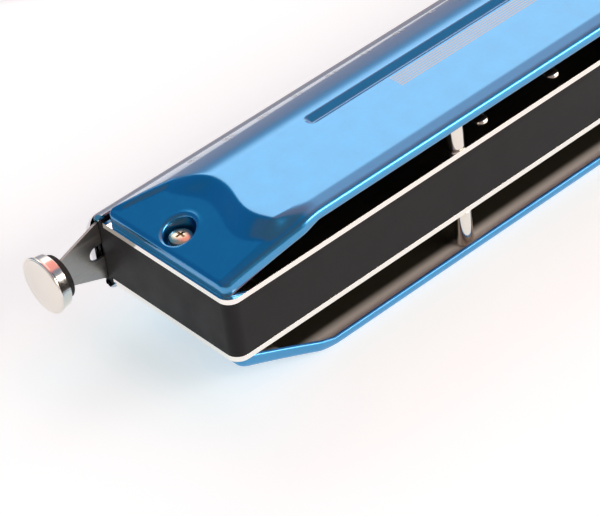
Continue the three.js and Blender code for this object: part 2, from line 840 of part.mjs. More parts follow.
// A shallow channel in front of the slide, whose lips guide the slide's long edges
function makeCage() {
  const h = cageHeight / 2;
  const [y0, y1] = [cageFrontY - overrun, cageRearY + overrun];
  let cage = block(-halfLength, halfLength, cageFrontY, cageRearY, -h, h);
  for (const side of [-1, 1]) {
    const [z0, z1] = side > 0 ? [h - cageLip, h] : [-h, cageLip - h];
    cage = cage.add(block(-halfLength, halfLength, cageFrontY, backPlateFrontY, z0, z1));
  }
  const tools = mouthScrewHoles(y0, y1, mouthScrewRadius + fitGap);
  for (let hole = 0; hole < holeCount; hole += 1) {
    tools.push(windowTool(holeX(hole), 0, cageWindow, cageWindow, y0, y1));
  }
  return toGeometry(cutAll(cage, tools));
}

// Mouthpiece

// A rounded rectangle in X and Z at a depth y
function roundedSection(halfWidth, halfHeight, radius, y) {
  const points = [];
  const steps = mouthCornerSteps;
  const cornerSigns = [[1, 1], [-1, 1], [-1, -1], [1, -1]];
  cornerSigns.forEach(([sx, sz], quarter) => {
    for (let i = 0; i <= steps; i += 1) {
      const angle = (quarter + i / steps) * Math.PI / 2;
      const x = sx * (halfWidth - radius) + radius * Math.cos(angle);
      const z = sz * (halfHeight - radius) + radius * Math.sin(angle);
      points.push(new THREE.Vector3(x, y, z));
    }
  });
  return points;
}

// The bar's cross-section at a share of its depth, full behind and drawn in to the front
function mouthpieceSection(share) {
  const along = share * mouthpieceFrontShare;
  const bulge = (1 - along ** mouthpieceFullness) ** (1 / mouthpieceFullness);
  const halfHeight = mouthpieceHeight / 2 * bulge;
  const drawnIn = mouthpieceEndRound * (1 - Math.sqrt(1 - along ** 2));
  const radius = Math.min(mouthpieceCorner + drawnIn, halfHeight * mouthpieceCornerShare);
  const y = mouthRearY - share * mouthpieceDepth;
  return roundedSection(mouthEndX - drawnIn, halfHeight, radius, y);
}

function makeMouthpiece() {
  const sections = mouthpieceDepthShares.map(mouthpieceSection);
  const body = loft(sections, (point) => new THREE.Vector2(point.x, point.z));
  const x = mouthEndX + overrun;
  const [y0, y1] = [mouthFrontY - overrun, mouthRearY + overrun];
  const tools = mouthScrewHoles(y0, y1, mouthScrewRadius + fitGap);
  const flangeRoom = flangeHeight / 2 + fitGap;
  const cageRoom = cageHeight / 2 + fitGap;
  tools.push(block(-x, x, flangeFrontY - fitGap, y1, -flangeRoom, flangeRoom));
  tools.push(block(-x, x, cageFrontY, y1, -cageRoom, cageRoom));
  const headSeatY = mouthFrontY + mouthScrewHeadDepth + mouthScrewHeadHeight;
  for (const side of [-1, 1]) {
    tools.push(rodY(side * mouthScrewX, 0, y0, headSeatY, mouthScrewHeadRadius + fitGap));
  }
  for (let hole = 0; hole < holeCount; hole += 1) {
    tools.push(rodY(holeX(hole), 0, y0, y1, mouthHoleRadius, mouthHoleSides));
  }
  return toGeometry(cutAll(body, tools));
}

// A screw with its head up and its seat at zero
function makeMouthScrew() {
  const seatY = mouthFrontY + mouthScrewHeadDepth + mouthScrewHeadHeight;
  const length = flangeFrontY + mouthScrewReach - seatY;
  const [r, head, top] = [mouthScrewRadius, mouthScrewHeadRadius, mouthScrewHeadHeight];
  const crown = mouthScrewCrownShares.map(([wide, high]) => [head * wide, top * high]);
  const shank = [[0, -length], [r, -length], [r, 0], [head, 0]];
  const screw = turned([...shank, ...crown], 0, 0, smallSides);
  const [w, l] = [crossWidth / 2, crossLength / 2 * mouthScrewCrossShare];
  const z0 = top * mouthScrewCrossFloorShare;
  const recess = block(-w, w, -l, l, z0, top + overrun).add(block(-l, l, -w, w, z0, top + overrun));
  return toGeometry(screw.subtract(recess));
}

// Button and bumper, turned about X: the profile's height runs along +X from the back face

function turnedAlongX(profile) {
  const points = profile.map(([radius, height]) => new THREE.Vector2(radius, height));
  const geometry = new THREE.LatheGeometry(points, buttonSides);
  geometry.rotateZ(-Math.PI / 2);
  return toSolid(geometry);
}

function tongueSocket(length) {
  const y = slideThickness / 2 + fitGap;
  const z = slideTongueHeight / 2 + fitGap;
  return block(-overrun, length, -y, y, -z, z);
}

function makeButton() {
  const dome = buttonDomeShares.map(([wide, high]) => [
    buttonRadius * wide, buttonLength + buttonDome * high,
  ]);
  const button = turnedAlongX([
    [0, 0], [buttonWaistRadius - buttonBack, 0], [buttonWaistRadius, buttonBack],
    [buttonSideRadius, buttonLength - 2 * buttonEdge], [buttonRadius, buttonLength - buttonEdge],
    ...dome,
  ]);
  const socket = tongueSocket(slideTongueLength - bumperLength + fitGap);
  return toGeometry(button.subtract(socket));
}

function makeBumper() {
  const roll = bumperLength * bumperRollShare;
  const bumper = turnedAlongX([
    [0, 0], [bumperRadius - roll, 0], [bumperRadius, roll], [bumperRadius, bumperLength], [0, bumperLength],
  ]);
  return toGeometry(bumper.subtract(tongueSocket(bumperLength + overrun)));
}

// Return spring: a wire with a fixed leg, a short coil on the peg, and a moving leg whose tip
// turns forward into the slide
function makeSpring() {
  const points = [];
  const coilZ = -springCoilDrop;
  const coilBackY = flangeFrontY + springPocketDepth - springWireRadius - fitGap;
  const coilFrontY = coilBackY - springTurns * springCoilPitch;
  const legDrop = springCoilRadius;
  points.push(new THREE.Vector3(springCoilX - springLegLength, coilBackY, coilZ - legDrop));
  const steps = springTurns * springCoilSteps;
  for (let i = 0; i <= steps; i += 1) {
    const angle = -Math.PI / 2 + 2 * Math.PI * i / springCoilSteps;
    const y = THREE.MathUtils.lerp(coilBackY, coilFrontY, i / steps);
    points.push(new THREE.Vector3(
      springCoilX + springCoilRadius * Math.cos(angle), y, coilZ + springCoilRadius * Math.sin(angle),
    ));
  }
  const tip = new THREE.Vector3(springTipX, coilFrontY, springTipRise);
  points.push(points.at(-1).clone().lerp(tip, springLegShare));
  points.push(tip.clone().add(new THREE.Vector3(0, 0, -springWireRadius * 2)));
  points.push(tip.clone().add(new THREE.Vector3(0, -springWireRadius * 2, 0)));
  points.push(new THREE.Vector3(springTipX, slideFrontY, springTipRise));
  const wire = new THREE.CatmullRomCurve3(points, false, 'centripetal');
  const section = new THREE.Shape();
  section.absarc(0, 0, springWireRadius, 0, 2 * Math.PI, false);
  const geometry = new THREE.ExtrudeGeometry(section, {
    steps: springWireSteps, curveSegments: springWireSides, extrudePath: wire, bevelEnabled: false,
  });
  return toGeometry(toSolid(geometry));
}

// Materials

function finish(color, roughness, metalness) {
  return new THREE.MeshStandardMaterial({ color, roughness, metalness });
}

const combPlastic = () => finish(0x3d3d40, 0.45, 0);
const plateNickel = () => finish(0xe8dcc8, 0.25, 1);
const coverBlue = () => finish(0x2f8fdc, 0.18, 1);
const chrome = () => finish(0xdfe2e6, 0.08, 1);
const nickel = () => finish(0xdcd4c6, 0.2, 1);
const slideSteel = () => finish(0x6c6660, 0.35, 1);
const blackSteel = () => finish(0x1d1d1f, 0.5, 1);
const springSteel = () => finish(0x9a9a9a, 0.3, 1);
const blackRubber = () => finish(0x111111, 0.8, 0);

const harmonica = new THREE.Group();
harmonica.position.set(0, -restStripCentre, overallHeight / 2);

function place(name, geometry, material, x = 0, y = 0, z = 0) {
  const mesh = new THREE.Mesh(geometry, material);
  mesh.name = name;
  mesh.position.set(x, y, z);
  harmonica.add(mesh);
  return mesh;
}

place('comb', makeComb(), combPlastic());

const reedPlate = makeReedPlate();
place('upper_reed_plate', reedPlate, plateNickel(), 0, 0, combThickness / 2);
place('lower_reed_plate', flipped(reedPlate), plateNickel(), 0, 0, -combThickness / 2);

place('upper_cover', makeCover(boltRadius + fitGap), coverBlue());
place('lower_cover', flipped(makeCover(nutSleeveRadius + fitGap)), coverBlue());

const sides = [['left', -1], ['right', 1]];
const post = makePost();
for (const [side, sign] of sides) {
  const seat = coverRiseToSeat();
  place(`cover_bolt_${side}`, makeCoverBolt(), nickel(), sign * boltX, boltY, seat);
  place(`cover_nut_${side}`, flipped(makeCoverNut()), nickel(), sign * boltX, boltY, -seat);
  const [postX, postY] = [sign * postSpacing / 2, rearY - postDepth];
  place(`upper_post_${side}`, post, nickel(), postX, postY, plateTop);
  place(`lower_post_${side}`, flipped(post), nickel(), postX, postY, -plateTop);
}

const plateScrew = makePlateScrew();
plateScrewPlaces().forEach(([x, y], index) => {
  place(`upper_plate_screw_${index + 1}`, plateScrew, nickel(), x, y, plateTop);
  place(`lower_plate_screw_${index + 1}`, flipped(plateScrew), nickel(), x, y, -plateTop);
});

place('slide_back_plate', makeBackPlate(), blackSteel());
place('slide_cage', makeCage(), blackSteel());
place('mouthpiece', makeMouthpiece(), chrome());
const mouthScrewSeatY = mouthFrontY + mouthScrewHeadDepth + mouthScrewHeadHeight;
for (const [side, sign] of sides) {
  const name = `mouthpiece_screw_${side}`;
  const screw = place(name, makeMouthScrew(), nickel(), sign * mouthScrewX, mouthScrewSeatY);
  screw.rotation.x = Math.PI / 2;
}
place('return_spring', makeSpring(), springSteel());

place('slide', makeSlide(), slideSteel());
place('button_bumper', makeBumper(), blackRubber(), bumperX, slideMiddleY);
place('button', makeButton(), nickel(), buttonX, slideMiddleY);

export default harmonica;
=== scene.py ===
"""A chromatic harmonica: smooth pressed covers, plates, mouthpiece, button and fasteners,
with their materials, light and camera. Lengths in the code are millimetres unless a name
ends in _m; the scene itself is in metres."""

import math

import bmesh
import bpy
import numpy as np
from mathutils import Matrix, Quaternion, Vector


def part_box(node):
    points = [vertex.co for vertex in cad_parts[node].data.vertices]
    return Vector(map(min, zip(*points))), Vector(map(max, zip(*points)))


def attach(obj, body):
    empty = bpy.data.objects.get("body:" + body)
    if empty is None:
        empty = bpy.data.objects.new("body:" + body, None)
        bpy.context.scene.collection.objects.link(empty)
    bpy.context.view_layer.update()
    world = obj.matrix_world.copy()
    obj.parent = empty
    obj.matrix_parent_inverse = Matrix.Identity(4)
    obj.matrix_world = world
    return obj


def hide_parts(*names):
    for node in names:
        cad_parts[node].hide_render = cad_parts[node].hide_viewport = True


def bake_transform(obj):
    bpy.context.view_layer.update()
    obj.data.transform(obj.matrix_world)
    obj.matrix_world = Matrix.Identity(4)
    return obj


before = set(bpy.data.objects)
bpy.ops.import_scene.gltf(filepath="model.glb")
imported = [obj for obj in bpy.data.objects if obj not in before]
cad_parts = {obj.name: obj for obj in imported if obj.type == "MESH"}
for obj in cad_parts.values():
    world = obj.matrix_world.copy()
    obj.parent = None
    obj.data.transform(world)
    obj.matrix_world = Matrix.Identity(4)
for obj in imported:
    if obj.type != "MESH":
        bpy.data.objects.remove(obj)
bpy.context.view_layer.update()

MM = 0.001
BODY = "body"
SLIDE_UNIT = "slide_unit"

# ---- sizes, in the part's frame. A depth runs from the reed plates' back edge to the front,
# an inset from the comb's end to its middle, and a rise up from the reed plate

HALF_LENGTH = 90.3
REAR_Y = 11.25
MID_Z = 17.0
PLATE_TOP = 24.65
SHEET = 0.7
RISE = 9.35
END_WALL = 2.5
END_INSET = 0.8
END_RUN = 20.7
FRONT_DEPTH = 36.8
FRONT_SLOPES = ((22.0, 0.0), (27.0, 0.416), (33.0, 0.60), (37.5, 0.80))
FRONT_ROLL = 0.6
SLOPE_ANGLE = math.radians(31)
PLAN_CORNER = 1.6
SCOOP_INSET = 16.05
SCOOP_SWING = 1.35
SCOOP_DEPTH = 19.5
SCOOP_PERIOD = 22.0
SCOOP_STEP = 4.5
SCOOP_SHARE = 0.8
GROOVE_DEPTH_AT = 20.7
GROOVE_HALF = 50.5
BOLT_X = 84.6
BOLT_DEPTH = 20.0
DIMPLE_RIM = 4.1
DIMPLE_ROUND = 0.9
DIMPLE_MARGIN = 4.6
SEAT_RADIUS = 2.5
POST_X = 29.2
POST_DEPTH = 2.0
HOLES = 16
PITCH = 9.2
HOLE_RADIUS = 3.6
HOLE_FLARE = 0.9
HOLE_ROUND = 2.2
MOUTH_REAR_Y = -26.6
MOUTH_DEPTH = 7.55
MOUTH_FRONT_Y = MOUTH_REAR_Y - MOUTH_DEPTH
MOUTH_REACH = 1.3
MOUTH_HALF_HEIGHT = 9.07
MOUTH_CORNER = 2.2
MOUTH_SCREW_X = 87.6
SLIDE_Y = -28.25
BUTTON_X = 102.3
FLOOR_Z = 0.0

# ---- the covers' back rim, groove and ends, finer than the solids'

OVERHANG = 1.5
RIM_ROLL = 1.1
RIM_BEND = (2.4, 1.6)
RIM_SLOPE = 0.11
EDGE_ROLL = 0.75
LIP = 2.22
GROOVE_WIDTH = 3.0
GROOVE_SLOPE = 0.70
GROOVE_BEND = 0.35
LOWER_END_INSET = 0.6
LOWER_END_FROM = 86.6
LOWER_END_RUN = 2.6

# The two covers' sides of the comb: where each reed plate's face is, and the way out of it
LEVELS = (("upper", PLATE_TOP, "Z"), ("lower", 2 * MID_Z - PLATE_TOP, "-Z"))


def hole_x(i):
    return -PITCH * (HOLES - 1) / 2 + i * PITCH


def smoothstep(t):
    t = np.clip(t, 0.0, 1.0)
    return t * t * (3 - 2 * t)


# ---- mesh helpers


def add_object(name, data):
    obj = bpy.data.objects.new(name, data)
    bpy.context.scene.collection.objects.link(obj)
    return obj


def new_object(name, verts, faces, body=BODY, smooth=True):
    mesh = bpy.data.meshes.new(name)
    mesh.from_pydata([tuple(float(c) * MM for c in v) for v in verts], [], faces)
    mesh.validate()
    for poly in mesh.polygons:
        poly.use_smooth = smooth
    obj = add_object(name, mesh)
    if body:
        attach(obj, body)
    return obj


def evaluated_mesh(obj):
    """An object's mesh with its modifiers, or a curve's or a text's."""
    depsgraph = bpy.context.evaluated_depsgraph_get()
    return bpy.data.meshes.new_from_object(obj.evaluated_get(depsgraph))


def recalc(obj):
    bm = bmesh.new()
    bm.from_mesh(obj.data)
    bmesh.ops.remove_doubles(bm, verts=bm.verts, dist=1e-7)
    bmesh.ops.recalc_face_normals(bm, faces=bm.faces)
    bm.to_mesh(obj.data)
    bm.free()


def smooth_by_angle(obj, degrees):
    mesh = obj.data
    for poly in mesh.polygons:
        poly.use_smooth = True
    limit = math.radians(degrees)
    bm = bmesh.new()
    bm.from_mesh(mesh)
    for edge in bm.edges:
        edge.smooth = not (len(edge.link_faces) == 2 and edge.calc_face_angle(0.0) > limit)
    bm.to_mesh(mesh)
    bm.free()


def lathe(name, profile, centre, axis="Z", body=BODY, segments=64):
    """Turns (radius, height) pairs about an axis through centre; height runs along it."""
    verts, faces = [], []
    count = len(profile)
    for i in range(segments):
        angle = 2 * math.pi * i / segments
        c, s = math.cos(angle), math.sin(angle)
        for radius, height in profile:
            local = {
                "Z": (radius * c, radius * s, height),
                "-Z": (radius * c, -radius * s, -height),
                "X": (height, radius * c, radius * s),
                "Y": (radius * s, height, radius * c),
                "-Y": (-radius * s, -height, radius * c),
            }[axis]
            verts.append([a + b for a, b in zip(centre, local)])
    for i in range(segments):
        j = (i + 1) % segments
        for k in range(count - 1):
            faces.append((i * count + k, j * count + k, j * count + k + 1, i * count + k + 1))
    obj = new_object(name, verts, faces, body)
    recalc(obj)
    smooth_by_angle(obj, 35)
    return obj


def arc(cx, cz, radius, start, end, steps):
    """Points of (radius, height) on a circle, angles in degrees from the radius axis."""
    out = []
    for i in range(steps + 1):
        a = math.radians(start + (end - start) * i / steps)
        out.append((cx + radius * math.cos(a), cz + radius * math.sin(a)))
    return out


def soften(obj, width, segments, degrees):
    """Rounds the edges that are sharper than an angle."""
    edge = obj.modifiers.new("edge", "BEVEL")
    edge.width = width * MM
    edge.segments = segments
    edge.limit_method = "ANGLE"
    edge.angle_limit = math.radians(degrees)
    edge.harden_normals = True


def paint_copy(node, name, bevel, shader, body=BODY):
    """A welded copy of a solid with smooth shading and a small bevel, shown in its place."""
    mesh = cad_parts[node].data.copy()
    mesh.name = name
    bm = bmesh.new()
    bm.from_mesh(mesh)
    bmesh.ops.remove_doubles(bm, verts=bm.verts, dist=2e-7)
    flat = math.radians(0.6)
    bmesh.ops.dissolve_limit(bm, angle_limit=flat, verts=bm.verts, edges=bm.edges)
    bm.to_mesh(mesh)
    bm.free()
    obj = add_object(name, mesh)
    smooth_by_angle(obj, 30)
    soften(obj, bevel, 2, 30)
    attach(obj, body)
    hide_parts(node)
    paint(obj, shader)


def cut(obj, cutter):
    """Takes a scratch solid out of an object."""
    mod = obj.modifiers.new("cut", "BOOLEAN")
    mod.operation = "DIFFERENCE"
    mod.object = cutter
    mod.solver = "EXACT"
    bpy.context.view_layer.update()
    mesh = evaluated_mesh(obj)
    obj.modifiers.remove(mod)
    old = obj.data
    obj.data = mesh
    bpy.data.meshes.remove(old)
    bpy.data.objects.remove(cutter)


def plain_box(name, lo, hi):
    x0, y0, z0 = lo
    x1, y1, z1 = hi
    verts = [(x, y, z) for x in (x0, x1) for y in (y0, y1) for z in (z0, z1)]
    faces = [(0, 1, 3, 2), (4, 6, 7, 5), (0, 4, 5, 1), (2, 3, 7, 6), (0, 2, 6, 4), (1, 5, 7, 3)]
    obj = new_object(name, verts, faces, None, smooth=False)
    recalc(obj)
    return obj


def join(name, objs):
    """One scratch mesh made of several."""
    bm = bmesh.new()
    for obj in objs:
        bm.from_mesh(obj.data)
    mesh = bpy.data.meshes.new(name)
    bm.to_mesh(mesh)
    bm.free()
    for obj in objs:
        bpy.data.objects.remove(obj)
    return add_object(name, mesh)


# ---- materials


def srgb(r, g, b):
    def lin(c):
        c /= 255.0
        return c / 12.92 if c <= 0.04045 else ((c + 0.055) / 1.055) ** 2.4

    return (lin(r), lin(g), lin(b), 1.0)


class Nodes:
    """A node tree and short ways to add to it."""

    def __init__(self, tree):
        self.tree = tree

    def find(self, kind):
        return next(n for n in self.tree.nodes if n.type == kind)

    def node(self, kind, **settings):
        made = self.tree.nodes.new(kind)
        for key, value in settings.items():
            setattr(made, key, value)
        return made

    def feed(self, socket, value):
        """Gives a socket a number or colour of its own, or another node's output."""
        if isinstance(value, (int, float, tuple)):
            socket.default_value = value
        else:
            self.tree.links.new(value, socket)

    def position(self):
        return self.node("ShaderNodeTexCoord").outputs["Object"]

    def split(self, vector):
        made = self.node("ShaderNodeSeparateXYZ")
        self.feed(made.inputs["Vector"], vector)
        return (made.outputs[k] for k in "XYZ")

    def noise(self, scale, detail=3.0, stretch=(1, 1, 1)):
        mapping = self.node("ShaderNodeMapping")
        self.feed(mapping.inputs["Scale"], stretch)
        self.feed(mapping.inputs["Vector"], self.position())
        made = self.node("ShaderNodeTexNoise")
        self.feed(made.inputs["Scale"], scale)
        self.feed(made.inputs["Detail"], detail)
        self.feed(made.inputs["Vector"], mapping.outputs["Vector"])
        return made.outputs["Fac"]

    def ramp(self, source, low_in, high_in, low_out=0.0, high_out=1.0, kind="LINEAR"):
        made = self.node("ShaderNodeMapRange", interpolation_type=kind)
        limits = (low_in, high_in, low_out, high_out)
        for key, value in zip(("From Min", "From Max", "To Min", "To Max"), limits):
            self.feed(made.inputs[key], value)
        self.feed(made.inputs["Value"], source)
        return made.outputs["Result"]

    def fade(self, source, low_in, high_in, low_out=0.0, high_out=1.0):
        return self.ramp(source, low_in, high_in, low_out, high_out, "SMOOTHSTEP")

    def math(self, operation, a, b=None, clamp=False):
        made = self.node("ShaderNodeMath", operation=operation, use_clamp=clamp)
        self.feed(made.inputs[0], a)
        if b is not None:
            self.feed(made.inputs[1], b)
        return made.outputs["Value"]

    def mix_color(self, factor, a, b):
        made = self.node("ShaderNodeMix", data_type="RGBA")
        self.feed(made.inputs["Factor"], factor)
        self.feed(made.inputs[6], a)
        self.feed(made.inputs[7], b)
        return made.outputs[2]


class Shader(Nodes):
    """A material with its main shader."""

    def __init__(self, name, color, roughness, metallic=0.0):
        self.mat = bpy.data.materials.new(name)
        self.mat.use_nodes = True
        super().__init__(self.mat.node_tree)
        self.bsdf = self.find("BSDF_PRINCIPLED")
        self.set("Base Color", color)
        self.set("Roughness", roughness)
        self.set("Metallic", metallic)

    def set(self, socket, value):
        self.feed(self.bsdf.inputs[socket], value)

    def bump(self, height, strength, distance_m):
        made = self.node("ShaderNodeBump")
        self.feed(made.inputs["Strength"], strength)
        self.feed(made.inputs["Distance"], distance_m)
        self.feed(made.inputs["Height"], height)
        self.set("Normal", made.outputs["Normal"])


def paint(obj, shader):
    obj.data.materials.clear()
    obj.data.materials.append(shader.mat)


STRIPE_FRONT_DEPTH = 18.6
STRIPE_BAND = 4.0
STRIPE_COUNT = 6
STRIPE_HALF = 30.2
STRIPE_ABOVE = 16.0


def lacquer_shader():
    """Clear blue lacquer over bright sheet, with the fine bare stripes beside the groove."""
    s = Shader("blue_lacquer", (0.010, 0.27, 0.57, 1.0), 0.32, 1.0)
    s.set("Coat Weight", 1.0)
    s.set("Coat Roughness", 0.03)
    s.set("Coat IOR", 1.7)
    x, y, z = s.split(s.position())
    across = s.math("SUBTRACT", y, (REAR_Y - STRIPE_FRONT_DEPTH) * MM)
    in_band = s.math(
        "MULTIPLY",
        s.math("GREATER_THAN", across, 0.0),
        s.math("LESS_THAN", across, STRIPE_BAND * MM),
    )
    phase = s.math("FRACT", s.math("DIVIDE", across, STRIPE_BAND / STRIPE_COUNT * MM))
    in_line = s.math("LESS_THAN", phase, 0.5)
    in_length = s.math("LESS_THAN", s.math("ABSOLUTE", x), STRIPE_HALF * MM)
    on_top = s.math("GREATER_THAN", z, (MID_Z + STRIPE_ABOVE) * MM)
    mask = s.math(
        "MULTIPLY", s.math("MULTIPLY", in_band, in_line), s.math("MULTIPLY", in_length, on_top)
    )
    tint = s.mix_color(
        s.ramp(s.noise(900, 4), 0.35, 0.65),
        (0.010, 0.264, 0.560, 1.0),
        (0.010, 0.276, 0.580, 1.0),
    )
    s.set("Base Color", s.mix_color(mask, tint, (0.30, 0.30, 0.30, 1.0)))
    worn = s.ramp(s.noise(260, 5), 0.3, 0.7, 0.30, 0.34)
    s.set("Roughness", s.math("MAXIMUM", worn, s.math("MULTIPLY", mask, 0.42)))
    s.bump(s.noise(420, 2), 0.04, 0.0001)
    return s


def bare_sheet_shader(name, tone, metallic):
    """The covers' inner face: rolled sheet, streaked along its length."""

    def warm(level):
        return (level, level * 0.92, level * 0.82, 1.0)

    s = Shader(name, warm(tone), 0.45, metallic)
    streak = s.noise(260, 5, (0.05, 1.2, 1.2))
    shade = s.mix_color(s.ramp(streak, 0.3, 0.7), warm(tone * 0.85), warm(tone * 1.15))
    s.set("Base Color", shade)
    s.set("Roughness", s.ramp(streak, 0.3, 0.7, 0.4, 0.52))
    return s, shade


# Depths over which the lower sheet's painted shade fades out towards the lip
SHADE_FADE_DEPTHS = (4.6, 1.8)


def lip_sheet_shader():
    """The lower sheet, with painted shade: nearly black deeper inside, its own tone where it turns
    up to the lip.
    """
    s, shade = bare_sheet_shader("bare_sheet_lower", 0.86, 0.0)
    _, y, _ = s.split(s.position())
    unshaded = s.fade(y, *((REAR_Y - depth) * MM for depth in SHADE_FADE_DEPTHS))
    # Painted shade: deeper inside the chamber the sheet is drawn nearly black
    s.set("Base Color", s.mix_color(unshaded, (0.018, 0.015, 0.009, 1.0), shade))
    return s


def edge_shader():
    """Lacquer gathered along the sheet's cut edge, thicker and less clear."""
    s = Shader("lacquered_edge", (0.045, 0.25, 0.62, 1.0), 0.5)
    s.set("Specular IOR Level", 0.2)
    drops = s.noise(700)
    s.set("Base Color", s.mix_color(drops, (0.035, 0.22, 0.55, 1.0), (0.055, 0.28, 0.69, 1.0)))
    s.set("Roughness", s.ramp(drops, 0.3, 0.7, 0.42, 0.58))
    return s


def plate_shader():
    s = Shader("plate_metal", (0.95, 0.93, 0.88, 1.0), 0.1, 1.0)
    grind = s.noise(1500, stretch=(0.05, 1.0, 1.0))
    s.set("Roughness", s.ramp(grind, 0.3, 0.7, 0.07, 0.13))
    s.set("Base Color", s.mix_color(grind, (0.93, 0.90, 0.84, 1.0), (0.98, 0.96, 0.92, 1.0)))
    s.bump(grind, 0.01, 0.00001)
    return s


def comb_shader():
    s = Shader("comb_plastic", srgb(34, 34, 35), 0.42)
    s.set("Specular IOR Level", 0.2)
    fine = s.noise(2600)
    s.set("Roughness", s.ramp(s.noise(180, 4), 0.3, 0.7, 0.38, 0.5))
    s.set("Base Color", s.mix_color(fine, srgb(31, 31, 32), srgb(37, 37, 38)))
    s.bump(fine, 0.12, 0.00004)
    return s


def chrome_shader():
    s = Shader("chrome_plate", (0.62, 0.63, 0.66, 1.0), 0.05, 1.0)
    s.set("Roughness", s.ramp(s.noise(350, 4), 0.3, 0.7, 0.03, 0.09))
    s.bump(s.noise(90, 2), 0.02, 0.0002)
    return s


def nickel_shader(
    name="nickel_plate",
    rough=(0.1, 0.2),
    dull=(0.80, 0.755, 0.69, 1.0),
    bright=(0.86, 0.825, 0.76, 1.0),
):
    s = Shader(name, bright, rough[0], 1.0)
    s.set("Roughness", s.ramp(s.noise(900, 4), 0.3, 0.7, *rough))
    s.set("Base Color", s.mix_color(s.noise(300), dull, bright))
    s.bump(s.noise(1800, 2), 0.04, 0.00003)
    return s


def button_shader():
    """Turned and plated: fine rings on the face, about the button's axis."""
    s = nickel_shader("turned_nickel", (0.14, 0.24))
    shift = s.node("ShaderNodeMapping")
    s.feed(shift.inputs["Location"], (0, -SLIDE_Y * MM, -MID_Z * MM))
    s.feed(shift.inputs["Vector"], s.position())
    rings = s.node("ShaderNodeTexWave", wave_type="RINGS", rings_direction="X")
    s.feed(rings.inputs["Scale"], 1400)
    s.feed(rings.inputs["Distortion"], 1.0)
    s.feed(rings.inputs["Vector"], shift.outputs["Vector"])
    s.bump(rings.outputs["Fac"], 0.06, 0.00002)
    return s


def steel_shader(name, color, rough):
    """Rolled along the harmonica's length."""
    s = Shader(name, color, rough, 1.0)
    roll = s.noise(1200, 4, (0.04, 1, 1))
    s.set("Roughness", s.ramp(roll, 0.3, 0.7, rough - 0.08, rough + 0.08))
    dull, bright = ((*(c * k for c in color[:3]), 1.0) for k in (0.85, 1.15))
    s.set("Base Color", s.mix_color(roll, dull, bright))
    s.bump(roll, 0.1, 0.00003)
    return s


def dark_ring_shader():
    # Painted shade: the ring behind the button is drawn black for the shadow and dark reflection on
    # the button's neck
    s = Shader("black_rubber", (0.012, 0.012, 0.012, 1.0), 0.7)
    s.set("Roughness", s.ramp(s.noise(1500), 0.3, 0.7, 0.6, 0.8))
    s.bump(s.noise(2200), 0.2, 0.00005)
    return s


def ink_shader():
    s = Shader("etched_number", (0.80, 0.78, 0.74, 1.0), 0.45, 1.0)
    s.set("Roughness", s.ramp(s.noise(3000), 0.3, 0.7, 0.35, 0.6))
    return s


LACQUER = lacquer_shader()
# The upper cover's inner sheet is drawn almost black: painted shade, so the upper chamber looks
# dark
BARE_UPPER_SHADED, _ = bare_sheet_shader("bare_sheet_upper_painted_shade", 0.03, 0.8)
BARE_LOWER = lip_sheet_shader()
EDGE = edge_shader()
PLATE = plate_shader()
COMB = comb_shader()
CHROME = chrome_shader()
NICKEL = nickel_shader()
BOLT_METAL = nickel_shader(
    "bolt_nickel", (0.22, 0.34), (0.74, 0.66, 0.52, 1.0), (0.82, 0.74, 0.60, 1.0)
)
TURNED = button_shader()
SLIDE_STEEL = steel_shader("slide_steel", (0.42, 0.385, 0.355, 1.0), 0.34)
BLACK_STEEL = steel_shader("black_steel", (0.012, 0.012, 0.013, 1.0), 0.45)
SPRING_STEEL = steel_shader("spring_steel", (0.42, 0.42, 0.42, 1.0), 0.3)
RING_SHADE = dark_ring_shader()
INK = ink_shader()


# ---- covers


def roof_rise(v):
    """Flat, then bent down by a slope that grows in straight parts."""
    drop = np.zeros_like(v)
    for (v0, m0), (v1, m1) in zip(FRONT_SLOPES, FRONT_SLOPES[1:]):
        run = np.clip(v - v0, 0.0, v1 - v0)
        drop = drop + m0 * run + (m1 - m0) * run * run / (2 * (v1 - v0))
    return RISE - drop


def slope_rise(u):
    return END_WALL + (RISE - END_WALL) / END_RUN * (u - END_INSET)


def scoop_edge(v):
    """Inset of the roof's winding end, inside the line where the roof meets the end slope."""
    turn = 2 * math.pi * (v - SCOOP_DEPTH) / SCOOP_PERIOD
    wave = SCOOP_INSET + SCOOP_SWING * np.cos(turn)
    meeting = END_INSET + (roof_rise(v) - END_WALL) * END_RUN / (RISE - END_WALL)
    return np.maximum(np.minimum(wave, meeting), END_INSET + 2.05)


def rim_fall(v):
    """How far the roof dips towards the rim, at an even slope behind a soft bend."""
    width = RIM_BEND[0] - RIM_BEND[1]
    bend = np.clip(RIM_BEND[0] - v, 0.0, width)
    beyond = np.maximum(RIM_BEND[1] - v, 0.0)
    return RIM_SLOPE * (bend * bend / (2 * width) + beyond)


def smooth_min(a, b, blend):
    near = np.maximum(blend - np.abs(a - b), 0.0)
    return np.minimum(a, b) - near * near / (4 * blend)


def top_rise(u, v, falls=True):
    """The roof meets the end slope in a soft bend, and in front of the rim in the scooped step."""
    roof = roof_rise(v)
    edge = scoop_edge(v)
    step = np.minimum(SCOOP_STEP, (edge - END_INSET - 0.45) * SCOOP_SHARE)
    share = smoothstep((edge - u) / step)
    blend = 0.9 - 0.55 * smoothstep(v / 6.0)
    met = smooth_min(roof, slope_rise(u), blend)
    rise = met + (roof - met) * (1 - share) * smoothstep(v / 3.2)
    return rise - rim_fall(v) if falls else rise


def rim_inset(u):
    return 3.0 * (1 - np.minimum(1.0, u / 19.0) ** 1.3)


def corner_inset(u):
    t = np.clip(PLAN_CORNER - (u - END_INSET), 0.0, PLAN_CORNER)
    return PLAN_CORNER - np.sqrt(PLAN_CORNER**2 - t**2)


def lip_edge(u):
    """Rise of the back opening's edge, which comes down towards the ends."""
    return np.clip(0.345 * (u - 2.0), 0.0, RISE - LIP)


